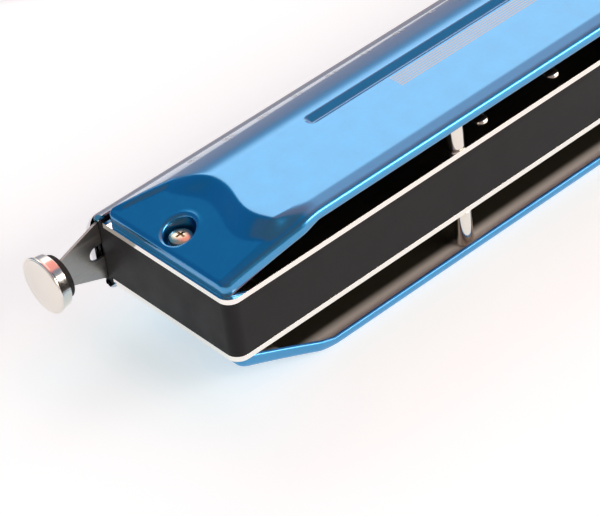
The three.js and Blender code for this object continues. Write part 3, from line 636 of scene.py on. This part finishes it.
def groove_drop(x, v):
    """The pressed groove: straight sides to its middle line, rounded at the ends."""
    along = np.maximum(0.0, np.abs(x) - (GROOVE_HALF - GROOVE_WIDTH / 2))
    away = np.sqrt(along**2 + (v - GROOVE_DEPTH_AT) ** 2 + 0.01)
    inside = np.maximum(0.0, GROOVE_WIDTH / 2 + GROOVE_BEND / 2 - away)
    bend = np.minimum(inside, GROOVE_BEND)
    return GROOVE_SLOPE * (bend * bend / (2 * GROOVE_BEND) + inside - bend)


def steps(a, b, size):
    """Even steps from a up to, but not at, b."""
    count = max(1, int(round(abs(b - a) / size)))
    return [a + (b - a) * i / count for i in range(count)]


def section_rows():
    """(depth, drop, share of the front wall's height, share of the back wall's height)."""
    r = FRONT_ROLL
    rows = [(FRONT_DEPTH, r, 0.0, None), (FRONT_DEPTH, r, 0.5, None)]
    for i in range(7):
        a = math.radians(90 * i / 6)
        rows.append((FRONT_DEPTH - r * (1 - math.cos(a)), r * (1 - math.sin(a)), 1.0, None))
    # The rows lie closest together across the groove and the rim
    depths = steps(36.0, 28.7, 0.45) + steps(28.7, 22.9, 0.35) + steps(22.9, 18.5, 0.11)
    depths += steps(18.5, 3.4, 0.45) + steps(3.4, -0.13, 0.14)
    rows += [(v, 0.0, 1.0, None) for v in depths]
    r = RIM_ROLL
    for i in range(11):
        a = math.radians(90 - 90 * i / 10)
        rows.append((-OVERHANG + r * (1 - math.cos(a)), r * (1 - math.sin(a)), 1.0, None))
    for share in (0.66, 0.33, 0.0):
        rows.append((-OVERHANG, r, 1.0, share))
    return rows


PLATFORM_STEPS = 26
WALL_STATIONS = 9


def end_stations():
    """(kind, value, drop, share of the end wall's height), from the end wall inwards."""
    r = EDGE_ROLL
    made = [("wall", END_INSET, r, 0.0), ("wall", END_INSET, r, 0.5)]
    for i in range(WALL_STATIONS - 2):
        a = math.radians(90 * i / 6)
        made.append(("wall", END_INSET + r * (1 - math.cos(a)), r * (1 - math.sin(a)), 1.0))
    for kind, count in (("platform", PLATFORM_STEPS), ("step", 16), ("roof", 14)):
        made += [(kind, k / count, 0.0, 1.0) for k in range(1, count + 1)]
    return made


def station_u(kind, value, v):
    if kind == "wall":
        return np.full_like(v, value)
    edge = scoop_edge(v)
    start = END_INSET + EDGE_ROLL
    step = np.minimum(SCOOP_STEP, (edge - start) * SCOOP_SHARE)
    foot = edge - step
    if kind == "platform":
        return start + (foot - start) * value
    if kind == "step":
        return foot + step * value
    return edge + (END_RUN + 6.0 - edge) * value


def cover_grid(falls):
    """The outer face's points, a column for each inset from one end to the other."""
    rows = section_rows()
    v = np.array([r[0] for r in rows])
    drop_v = np.array([r[1] for r in rows])
    front_share = np.array([r[2] for r in rows])
    back_share = np.array([1.0 if r[3] is None else r[3] for r in rows])
    stations = [(station_u(kind, k, v), drop, wall) for kind, k, drop, wall in end_stations()]
    # The columns of the roof's middle lie closest together at the groove's end
    inner_x = steps(HALF_LENGTH - END_RUN - 6.0, 51.2, 1.1)[1:] + steps(51.2, 48.6, 0.11)
    inner_x += steps(48.6, 0.0, 2.0) + [0.0]
    stations += [(np.full_like(v, HALF_LENGTH - x), 0.0, 1.0) for x in inner_x]
    columns = []
    for u, drop_u, wall_share in stations:
        corner = corner_inset(u)
        near_back = np.maximum(0.0, (6.0 - v) / (6.0 + OVERHANG))
        near_front = np.maximum(0.0, 1 - (FRONT_DEPTH - v) / 6.0)
        placed = v + (rim_inset(u) + corner) * near_back - corner * near_front
        rise = top_rise(u, v, falls) - drop_u - drop_v - groove_drop(HALF_LENGTH - u, v)
        lip = lip_edge(u)
        rise = np.where(back_share < 1, lip + (rise - lip) * back_share, rise)
        rise = rise * front_share * wall_share
        columns.append(np.stack([HALF_LENGTH - u, REAR_Y - placed, PLATE_TOP + rise], 1))
    right = np.array(columns)
    left = right[:-1].copy()
    left[:, :, 0] *= -1
    return np.concatenate([right, left[::-1]]), v


def surface_z(x, y):
    """Height of the plain platform at a place near a bolt, without its dimple."""
    u = HALF_LENGTH - abs(x)
    return PLATE_TOP + float(top_rise(np.array([u]), np.array([REAR_Y - y]))[0])


def ring_at(centre, radius, heights, angles):
    cx, cy = centre
    turns = [(radius * math.cos(a), radius * math.sin(a)) for a in angles]
    return [(cx + x, cy + y, z) for (x, y), z in zip(turns, heights)]


def add_dimple(verts, faces, grid_index, columns, rows, x_side, hole_radius):
    """Replaces a block of the grid by rings that run from the block's edge to the bolt hole."""
    (c0, c1), (r0, r1) = columns, rows
    loop = [(c, r0) for c in range(c0, c1)] + [(c1, r) for r in range(r0, r1)]
    loop += [(c, r1) for c in range(c1, c0, -1)] + [(c0, r) for r in range(r1, r0, -1)]
    count = len(loop)
    centre = cx, cy = x_side * BOLT_X, REAR_Y - BOLT_DEPTH
    start = [verts[grid_index(c, r)] for c, r in loop]
    angles = [math.atan2(p[1] - cy, p[0] - cx) for p in start]
    rings = []
    for k in (0.25, 0.5, 0.75, 1.0):
        ring = []
        for p, a in zip(start, angles):
            x = p[0] + (cx + DIMPLE_RIM * math.cos(a) - p[0]) * k
            y = p[1] + (cy + DIMPLE_RIM * math.sin(a) - p[1]) * k
            ring.append((x, y, surface_z(x, y)))
        rings.append(ring)
    rim = [z for _, _, z in rings[-1]]
    for degrees in (12, 24, 36, 48, 60, 72):
        a = math.radians(degrees)
        radius = DIMPLE_RIM - DIMPLE_ROUND * math.sin(a)
        heights = [z - DIMPLE_ROUND * (1 - math.cos(a)) for z in rim]
        rings.append(ring_at(centre, radius, heights, angles))
    wall_top = [z for _, _, z in rings[-1]]
    seat = PLATE_TOP + SHEET
    for degrees in (75, 60, 45, 30, 15, 0):
        a = math.radians(degrees)
        wall_radius = SEAT_RADIUS + (radius - SEAT_RADIUS) * math.sin(a)
        share = (1 - math.cos(a)) / (1 - math.cos(math.radians(78)))
        heights = [seat + (z - seat) * share for z in wall_top]
        rings.append(ring_at(centre, wall_radius, heights, angles))
    rings.append(ring_at(centre, hole_radius, [seat] * count, angles))
    before = [grid_index(c, r) for c, r in loop]
    for ring in rings:
        now = [len(verts) + i for i in range(count)]
        verts.extend(ring)
        for i in range(count):
            j = (i + 1) % count
            faces.append((before[i], before[j], now[j], now[i]))
        before = now


def drawn_in(x):
    """The lower cover's ends stand a little further in than the upper one's."""
    share = float(smoothstep((abs(x) - LOWER_END_FROM) / LOWER_END_RUN))
    return math.copysign(abs(x) - LOWER_END_INSET * share, x)


def make_cover(name, node, flip, hole_radius):
    grid, depths = cover_grid(not flip)
    columns, rows = grid.shape[:2]
    verts = [tuple(p) for p in grid.reshape(-1, 3)]

    def index(c, r):
        return c * rows + r

    # The dimple's block runs from the last station of the wall to the last but one of the platform
    first_c, last_c = WALL_STATIONS - 1, WALL_STATIONS + PLATFORM_STEPS - 2
    first_r = int(np.argmin(abs(depths - (BOLT_DEPTH + DIMPLE_MARGIN))))
    last_r = int(np.argmin(abs(depths - (BOLT_DEPTH - DIMPLE_MARGIN))))
    blocks = [(first_c, last_c), (columns - 1 - last_c, columns - 1 - first_c)]
    faces = []
    for c in range(columns - 1):
        for r in range(rows - 1):
            in_block = any(a <= c < b for a, b in blocks) and first_r <= r < last_r
            if not in_block:
                faces.append((index(c, r), index(c + 1, r), index(c + 1, r + 1), index(c, r + 1)))
    for side, block in zip((1, -1), blocks):
        add_dimple(verts, faces, index, block, (first_r, last_r), side, hole_radius)
    if flip:
        verts = [(drawn_in(x), y, 2 * MID_Z - z) for x, y, z in verts]
    obj = new_object(name, verts, faces)
    bm = bmesh.new()
    bm.from_mesh(obj.data)
    bmesh.ops.remove_doubles(bm, verts=bm.verts, dist=1e-6)
    bmesh.ops.recalc_face_normals(bm, faces=bm.faces)
    outermost = max(bm.faces, key=lambda f: (-1 if flip else 1) * f.calc_center_median().z)
    if (outermost.normal.z < 0) != flip:
        bmesh.ops.reverse_faces(bm, faces=bm.faces)
    bm.to_mesh(obj.data)
    bm.free()
    paint(obj, LACQUER)
    obj.data.materials.append((BARE_LOWER if flip else BARE_UPPER_SHADED).mat)
    obj.data.materials.append(EDGE.mat)
    shell = obj.modifiers.new("sheet", "SOLIDIFY")
    shell.thickness = SHEET * MM
    shell.offset = -1
    shell.material_offset = 1
    shell.material_offset_rim = 2
    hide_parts(node)


NUMBER_DEPTH = 33.9
NUMBER_SIZE = 2.9


def make_numbers():
    """The numbers of the breath holes on the upper cover's front slope, facing the player."""
    z = PLATE_TOP + float(roof_rise(np.array([NUMBER_DEPTH]))[0])
    normal = Vector((0, -math.sin(SLOPE_ANGLE), math.cos(SLOPE_ANGLE)))
    up = Vector((0, math.cos(SLOPE_ANGLE), math.sin(SLOPE_ANGLE)))
    turn = Matrix((Vector((1, 0, 0)), up, normal)).transposed().to_4x4()
    for i in range(HOLES):
        text = bpy.data.curves.new(f"number_{i + 1}", "FONT")
        text.body = str(i + 1)
        text.size = NUMBER_SIZE * MM
        text.align_x = "CENTER"
        text.align_y = "CENTER"
        text.offset = 0.04 * MM
        text.extrude = 0.01 * MM
        obj = add_object(f"hole_number_{i + 1}", text)
        mesh = evaluated_mesh(obj)
        bpy.data.objects.remove(obj)
        middle = Vector((hole_x(i), REAR_Y - NUMBER_DEPTH, z)) * MM + normal * (0.01 * MM)
        mesh.transform(Matrix.Translation(middle) @ turn)
        made = add_object(f"hole_number_{i + 1}", mesh)
        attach(made, BODY)
        paint(made, INK)


# ---- mouthpiece


# From behind: the slide's channel and the step in front of it, as (front Y, half height)
MOUTH_CHANNEL = ((-27.6, 8.25), (-29.05, 7.95))
MOUTH_CHANNEL_HALF = 95.0
BEHIND_MOUTH = -26.0


def mouth_section(share):
    """Half length, half height, corner radius and Y of the bar at a share of its depth."""
    fullness = 1.6
    s = share * 0.97
    half_height = MOUTH_HALF_HEIGHT * (1 - s**fullness) ** (1 / fullness)
    inset = 3.0 * (1 - math.sqrt(1 - s * s))
    radius = min(MOUTH_CORNER + inset, half_height * 0.95)
    half_length = HALF_LENGTH + MOUTH_REACH - inset
    return half_length, half_height, radius, MOUTH_REAR_Y - share * MOUTH_DEPTH


def hole_profile():
    """A breath hole, straight from behind and flared in front."""
    points = [(0, BEHIND_MOUTH), (HOLE_RADIUS, BEHIND_MOUTH)]
    for degrees in range(0, 91, 15):
        a = math.radians(degrees)
        y = MOUTH_FRONT_Y + HOLE_ROUND - HOLE_ROUND * math.sin(a)
        points.append((HOLE_RADIUS + HOLE_FLARE * (1 - math.cos(a)), y))
    return points + [(HOLE_RADIUS + HOLE_FLARE, MOUTH_FRONT_Y - 2.0), (0, MOUTH_FRONT_Y - 2.0)]


def screw_seat_profile():
    """A screw's hole with the countersunk seat of its head."""
    front = MOUTH_FRONT_Y
    points = [(0, BEHIND_MOUTH), (1.35, BEHIND_MOUTH), (1.35, front + 3.1), (2.15, front + 3.1)]
    return points + [(2.15, front + 0.9), (2.6, front - 1.0), (0, front - 1.0)]


def make_mouthpiece():
    corner_steps = 10
    verts, faces, loops = [], [], []
    for k in range(23):
        half_x, half_z, r, y = mouth_section(math.sin(math.pi / 2 * k / 22) ** 0.9)
        loop = []
        for quarter, (sx, sz) in enumerate(((1, 1), (-1, 1), (-1, -1), (1, -1))):
            for i in range(corner_steps + 1):
                a = (quarter + i / corner_steps) * math.pi / 2
                x = sx * (half_x - r) + r * math.cos(a)
                z = MID_Z + sz * (half_z - r) + r * math.sin(a)
                loop.append(len(verts))
                verts.append((x, y, z))
        loops.append(loop)
    for a, b in zip(loops, loops[1:]):
        for i in range(len(a)):
            j = (i + 1) % len(a)
            faces.append((a[i], a[j], b[j], b[i]))
    faces += [tuple(loops[0]), tuple(reversed(loops[-1]))]
    bar = new_object("mouthpiece_bar", verts, faces)
    recalc(bar)
    for front_y, half in MOUTH_CHANNEL:
        lo = (-MOUTH_CHANNEL_HALF, front_y, MID_Z - half)
        hi = (MOUTH_CHANNEL_HALF, BEHIND_MOUTH, MID_Z + half)
        cut(bar, plain_box("channel", lo, hi))
    holes = []
    for i in range(HOLES):
        holes.append(lathe("hole", hole_profile(), (hole_x(i), 0, MID_Z), "Y", None, 48))
    for x in (-MOUTH_SCREW_X, MOUTH_SCREW_X):
        holes.append(lathe("seat", screw_seat_profile(), (x, 0, MID_Z), "Y", None, 40))
    cut(bar, join("holes", holes))
    smooth_by_angle(bar, 32)
    soften(bar, 0.12, 3, 32)
    paint(bar, CHROME)
    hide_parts("mouthpiece")


# ---- fasteners, posts, button


CROSS_WIDTH = 0.55
CROSS_LENGTH = 2.5
CROSS_DEPTH = 0.9
BOLT_HEAD = 2.15
NUT_HEAD = 2.05


def cut_cross(obj, x, y, top, direction):
    """A cross slot in a head's top, tapered towards its foot."""
    for w, l in ((CROSS_WIDTH, CROSS_LENGTH), (CROSS_LENGTH, CROSS_WIDTH)):
        verts = []
        for z, k in ((top - direction * CROSS_DEPTH, 0.55), (top + direction * 0.6, 1.15)):
            for sx, sy in ((-1, -1), (1, -1), (1, 1), (-1, 1)):
                kx, ky = (k, 1.0) if w > l else (1.0, k)
                verts.append((x + sx * w / 2 * kx, y + sy * l / 2 * ky, z))
        faces = [(0, 3, 2, 1), (4, 5, 6, 7), (0, 1, 5, 4), (1, 2, 6, 5), (2, 3, 7, 6), (3, 0, 4, 7)]
        bar = new_object("cross", verts, faces, None, smooth=False)
        recalc(bar)
        cut(obj, bar)
    smooth_by_angle(obj, 35)


def head_profile(shank, length, radius, height, crown):
    """Shank, underside and a domed head whose edge is rounded, from the tip up."""
    points = [(0, -length), (shank - 0.15, -length), (shank, -length + 0.15), (shank, -0.01)]
    edge = (height - crown) * 0.85
    points += [(radius - 0.12, 0.0), (radius, 0.12), (radius, edge)]
    for i in range(1, 10):
        a = math.radians(9 * i)
        points.append((radius * math.cos(a) ** 0.9, edge + (height - edge) * math.sin(a)))
    return points + [(0.0, height)]


def dome(radius, foot, height, angles):
    """A screw's domed top, from its edge to its middle."""
    turns = [math.radians(a) for a in angles]
    return [(radius * math.cos(a), foot + height * math.sin(a)) for a in turns]


def make_bolts():
    seat = PLATE_TOP + SHEET
    low_seat = 2 * MID_Z - seat
    y = REAR_Y - BOLT_DEPTH
    bolt_profile = head_profile(1.2, 12.85, 2.4, BOLT_HEAD, 0.4)
    nut_profile = [(1.35, -5.85), (1.75, -5.85), (1.75, -0.01)]
    nut_profile += head_profile(1.75, 5.85, 2.25, NUT_HEAD, 0.75)[4:]
    nut_profile += [(0, -0.05), (1.35, -0.05), (1.35, -5.85)]
    for side, x in (("left", -BOLT_X), ("right", BOLT_X)):
        bolt = lathe(f"bolt_{side}", bolt_profile, (x, y, seat))
        cut_cross(bolt, x, y, seat + BOLT_HEAD, 1)
        paint(bolt, BOLT_METAL)
        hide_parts(f"cover_bolt_{side}")
        nut = lathe(f"nut_{side}", nut_profile, (x, y, low_seat), "-Z")
        cut_cross(nut, x, y, low_seat - NUT_HEAD, -1)
        paint(nut, NICKEL)
        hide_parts(f"cover_nut_{side}")


def make_posts():
    length = RISE - SHEET - 0.02
    profile = [(0, 0.0), (1.3, 0.0)] + arc(1.35, 0.55, 0.55, -90, 0, 8)
    profile += [(1.9, length - 0.15), (1.75, length), (0, length)]
    for side, x in (("left", -POST_X), ("right", POST_X)):
        for level, base, axis in LEVELS:
            post = lathe(f"{level}_pillar_{side}", profile, (x, REAR_Y - POST_DEPTH, base), axis)
            paint(post, NICKEL)
            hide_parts(f"{level}_post_{side}")


def make_plate_screws():
    profile = [(0, -4.4), (0.7, -4.4), (0.85, -4.2), (0.85, 0.0), (1.5, 0.0), (1.6, 0.1)]
    profile += dome(1.6, 0.1, 0.85, (12, 25, 40, 55, 70, 90))
    for level, base, axis in LEVELS:
        for i in range(1, 8):
            node = f"{level}_plate_screw_{i}"
            lo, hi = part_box(node)
            x, y = (lo.x + hi.x) / 2 / MM, (lo.y + hi.y) / 2 / MM
            screw = lathe(f"{level}_dome_{i}", profile, (x, y, base), axis, segments=40)
            paint(screw, NICKEL)
            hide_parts(node)


def make_mouth_screws():
    for side, x in (("left", -MOUTH_SCREW_X), ("right", MOUTH_SCREW_X)):
        node = f"mouthpiece_screw_{side}"
        lo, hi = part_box(node)
        seat_y = lo.y / MM + 1.1
        length = hi.y / MM - seat_y
        profile = [(0, -length), (1.2, -length), (1.2, -0.01), (1.9, 0.0), (2.0, 0.1), (2.0, 0.5)]
        profile += dome(2.0, 0.5, 0.6, (15, 30, 50, 70, 90))
        screw = lathe(f"mouth_screw_{side}", profile, (x, seat_y, MID_Z), "-Y", segments=40)
        paint(screw, NICKEL)
        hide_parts(node)


def make_button():
    profile = [(0, 0.0), (5.35, 0.0)] + arc(5.4, 0.3, 0.3, -90, 0, 6)
    profile += [(5.7 + 0.3 * t, 0.3 + 1.8 * t) for t in (0.33, 0.67, 1.0)]
    profile += [(6.0 + 0.2 * smoothstep(t), 2.1 + 0.4 * t) for t in (0.2, 0.4, 0.6, 0.8, 1.0)]
    profile += arc(6.0, 2.68, 0.2, 0, 90, 6)
    profile += [(5.9, 2.87), (5.84, 2.82), (5.78, 2.82), (5.72, 2.88)]
    for i in range(13):
        t = i / 12
        profile.append((5.68 * (1 - t), 2.9 + 0.49 * (1 - (1 - t) ** 2)))
    button = lathe("button_knob", profile, (BUTTON_X, SLIDE_Y, MID_Z), "X", SLIDE_UNIT, 96)
    smooth_by_angle(button, 40)
    paint(button, TURNED)
    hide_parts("button")
    profile = [(0, 0.0)] + arc(4.4, 0.3, 0.3, -90, 0, 5) + arc(4.4, 1.19, 0.3, 0, 90, 5)
    profile.append((0, 1.49))
    # The ring is drawn black: painted shade and reflection behind the button's rim
    ring = lathe("button_neck_ring", profile, (BUTTON_X - 1.5, SLIDE_Y, MID_Z), "X", SLIDE_UNIT, 72)
    paint(ring, RING_SHADE)
    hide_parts("button_bumper")


WIRE_RADIUS = 0.34
COIL_X = -79.8
COIL_Z = MID_Z - 3.0
COIL_BACK_Y = -27.45 + 3.7 - 0.35 - 0.15
COIL_RADIUS = 2.2
COIL_TURNS = 2.25
COIL_PITCH = 1.15
COIL_STEPS = 60
LEG_LENGTH = 3.2
TIP_REACH = 2.4
TIP_RISE = 4.6
TIP_Y = -28.52


def spring_points():
    """The wire's middle line: a fixed leg, the coil and the leg whose tip is in the slide."""
    front_y = COIL_BACK_Y - COIL_TURNS * COIL_PITCH
    points = [Vector((COIL_X - LEG_LENGTH, COIL_BACK_Y, COIL_Z - COIL_RADIUS))]
    for i in range(COIL_STEPS + 1):
        a = -math.pi / 2 + 2 * math.pi * COIL_TURNS * i / COIL_STEPS
        x, z = COIL_X + COIL_RADIUS * math.cos(a), COIL_Z + COIL_RADIUS * math.sin(a)
        points.append(Vector((x, COIL_BACK_Y + (front_y - COIL_BACK_Y) * i / COIL_STEPS, z)))
    coil_end = points[-1]
    tip = Vector((COIL_X + TIP_REACH, front_y, MID_Z + TIP_RISE))
    points += [coil_end.lerp(tip, k) for k in (0.33, 0.66, 0.92)]
    return points + [Vector((tip.x, y, tip.z)) for y in (front_y - 0.8, front_y - 1.6, TIP_Y)]


def make_spring():
    """The same wire as the solid's, round and fine, that bends between comb and slide."""
    points = spring_points()
    curve = bpy.data.curves.new("wire", "CURVE")
    curve.dimensions = "3D"
    curve.bevel_depth = WIRE_RADIUS * MM
    curve.bevel_resolution = 5
    curve.use_fill_caps = True
    spline = curve.splines.new("POLY")
    spline.points.add(len(points) - 1)
    for p, q in zip(spline.points, points):
        p.co = (*(q * MM), 1)
    obj = add_object("spring_curve", curve)
    mesh = evaluated_mesh(obj)
    bpy.data.objects.remove(obj)
    for poly in mesh.polygons:
        poly.use_smooth = True
    wire = add_object("spring_wire", mesh)
    paint(wire, SPRING_STEEL)
    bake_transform(wire)
    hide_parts("return_spring")


def dress_solids():
    """The pieces whose solids have their full shape already."""
    paint_copy("comb", "comb_body", 0.12, COMB)
    paint_copy("upper_reed_plate", "upper_plate", 0.05, PLATE)
    paint_copy("lower_reed_plate", "lower_plate", 0.05, PLATE)
    paint_copy("slide_back_plate", "back_plate", 0.03, BLACK_STEEL)
    paint_copy("slide_cage", "cage", 0.03, BLACK_STEEL)
    paint_copy("slide", "slide_strip", 0.04, SLIDE_STEEL, SLIDE_UNIT)


# ---- stage: floor, light, camera

FLOOR_HALF_M = 4.0
FLOOR_GAP_M = 0.00002
FLOOR_NEAR = (0.69, 0.69, 0.69, 1.0)
FLOOR_FAR = (0.42, 0.47, 0.56, 1.0)
FLOOR_GLOW = (0.925, 1.0, 0.99, 1.0)
FLOOR_GLOW_STRENGTH = 0.585
# The glow ends past the floor that the camera sees, between these distances in this direction
FLOOR_AWAY = (-0.598, -0.801, 0.0)
FLOOR_FADE_M = (0.084, 0.094)


def floor_shader():
    """White near the harmonica and gray in front of it, where the covers mirror the floor."""
    s = Shader("white_table", FLOOR_NEAR, 0.6)
    s.set("Specular IOR Level", 0.2)
    away = s.node("ShaderNodeVectorMath", operation="DOT_PRODUCT")
    s.feed(away.inputs[0], s.position())
    s.feed(away.inputs[1], FLOOR_AWAY)
    glow = s.fade(away.outputs["Value"], *FLOOR_FADE_M, FLOOR_GLOW_STRENGTH, 0.0)
    near = s.math("DIVIDE", glow, FLOOR_GLOW_STRENGTH)
    s.set("Base Color", s.mix_color(near, FLOOR_FAR, FLOOR_NEAR))
    # The glow is a background's: the camera and the mirroring metal see it, but it lights nothing
    rays = s.node("ShaderNodeLightPath")
    seen = rays.outputs["Is Camera Ray"]
    for kind in ("Is Glossy Ray", "Is Transmission Ray"):
        seen = s.math("MAXIMUM", seen, rays.outputs[kind])
    s.set("Emission Color", FLOOR_GLOW)
    s.set("Emission Strength", s.math("MULTIPLY", glow, seen))
    mottle = s.node("ShaderNodeTexNoise")
    s.feed(mottle.inputs["Scale"], 30)
    s.set("Roughness", s.ramp(mottle.outputs["Fac"], 0.0, 1.0, 0.55, 0.65))
    return s


def make_floor():
    mesh = bpy.data.meshes.new("floor")
    half, z = FLOOR_HALF_M, FLOOR_Z * MM - FLOOR_GAP_M
    corners = [(-half, -half, z), (half, -half, z), (half, half, z), (-half, half, z)]
    mesh.from_pydata(corners, [], [(0, 1, 2, 3)])
    mesh.materials.append(floor_shader().mat)
    add_object("floor", mesh)


# The sky round the harmonica's length: degrees from the front over the top to the back
SKY = (
    (0, (0.36, 0.39, 0.46)),
    (14, (0.38, 0.41, 0.48)),
    (22, (0.66, 0.68, 0.75)),
    (32, (1.9, 1.8, 1.75)),
    (38, (2.35, 2.15, 2.05)),
    (49, (2.35, 2.15, 2.05)),
    (54, (1.5, 0.85, 0.80)),
    (60, (1.2, 0.45, 0.40)),
    (100, (1.1, 0.42, 0.38)),
    (108, (0.25, 0.28, 0.36)),
    (136, (0.25, 0.28, 0.36)),
    (142, (8.0, 7.2, 6.6)),
    (155, (8.0, 7.2, 6.6)),
    (163, (1.3, 1.3, 1.3)),
    (180, (1.0, 1.0, 1.0)),
)
# A colour ramp holds nothing above 1, so the sky is divided by this and scaled up again
SKY_SCALE = 8.0
# The sky past the button's end: bluish in front, plain elsewhere
DARK_SKY = (0.06, 0.25, 0.40, 1.0)
PLAIN_SKY = (0.30, 0.24, 0.24, 1.0)


def make_sky():
    world = bpy.data.worlds.new("studio")
    bpy.context.scene.world = world
    world.use_nodes = True
    s = Nodes(world.node_tree)
    background = s.find("BACKGROUND")
    x, y, z = s.split(s.node("ShaderNodeTexCoord").outputs["Generated"])
    turn = s.math("ARCTAN2", z, s.math("MULTIPLY", y, -1.0))
    degrees = s.math("MULTIPLY", turn, 180 / math.pi)
    ramp = s.node("ShaderNodeValToRGB")
    elements = ramp.color_ramp.elements
    elements[0].position, elements[1].position = 0.0, 1.0
    for angle, _ in SKY[1:-1]:
        elements.new(angle / 180)
    for element, (_, color) in zip(elements, SKY):
        element.color = (*(c / SKY_SCALE for c in color), 1)
    s.feed(ramp.inputs["Fac"], s.math("DIVIDE", degrees, 180.0, clamp=True))
    scaled = s.node("ShaderNodeVectorMath", operation="SCALE")
    s.feed(scaled.inputs["Scale"], SKY_SCALE)
    s.feed(scaled.inputs[0], ramp.outputs["Color"])
    unlit = s.mix_color(s.fade(y, -0.45, -0.25), DARK_SKY, PLAIN_SKY)
    sky = s.mix_color(s.fade(x, -0.08, -0.26), unlit, scaled.outputs["Vector"])
    s.feed(background.inputs["Color"], sky)
    s.feed(background.inputs["Strength"], 1.0)


def make_camera():
    data = bpy.data.cameras.new("camera")
    data.sensor_width = 36.0
    data.lens = 180.594
    data.clip_start, data.clip_end = 0.01, 20.0
    data.dof.use_dof = False
    obj = add_object("camera", data)
    obj.location = (0.33718584, 0.36624738, 0.38055869)
    obj.rotation_mode = "QUATERNION"
    obj.rotation_quaternion = Quaternion((0.3448524973, 0.1064212205, 0.4188059961, 0.8332783548))
    bpy.context.scene.camera = obj


make_cover("upper_shell", "upper_cover", False, 1.35)
make_cover("lower_shell", "lower_cover", True, 1.9)
make_numbers()
make_mouthpiece()
make_bolts()
make_posts()
make_plate_screws()
make_mouth_screws()
make_button()
make_spring()
dress_solids()
make_floor()
make_sky()
make_camera()

scene = bpy.context.scene
scene.view_settings.view_transform = "Standard"
scene.view_settings.look = "None"
scene.view_settings.exposure = 0.0
scene.view_settings.gamma = 1.0
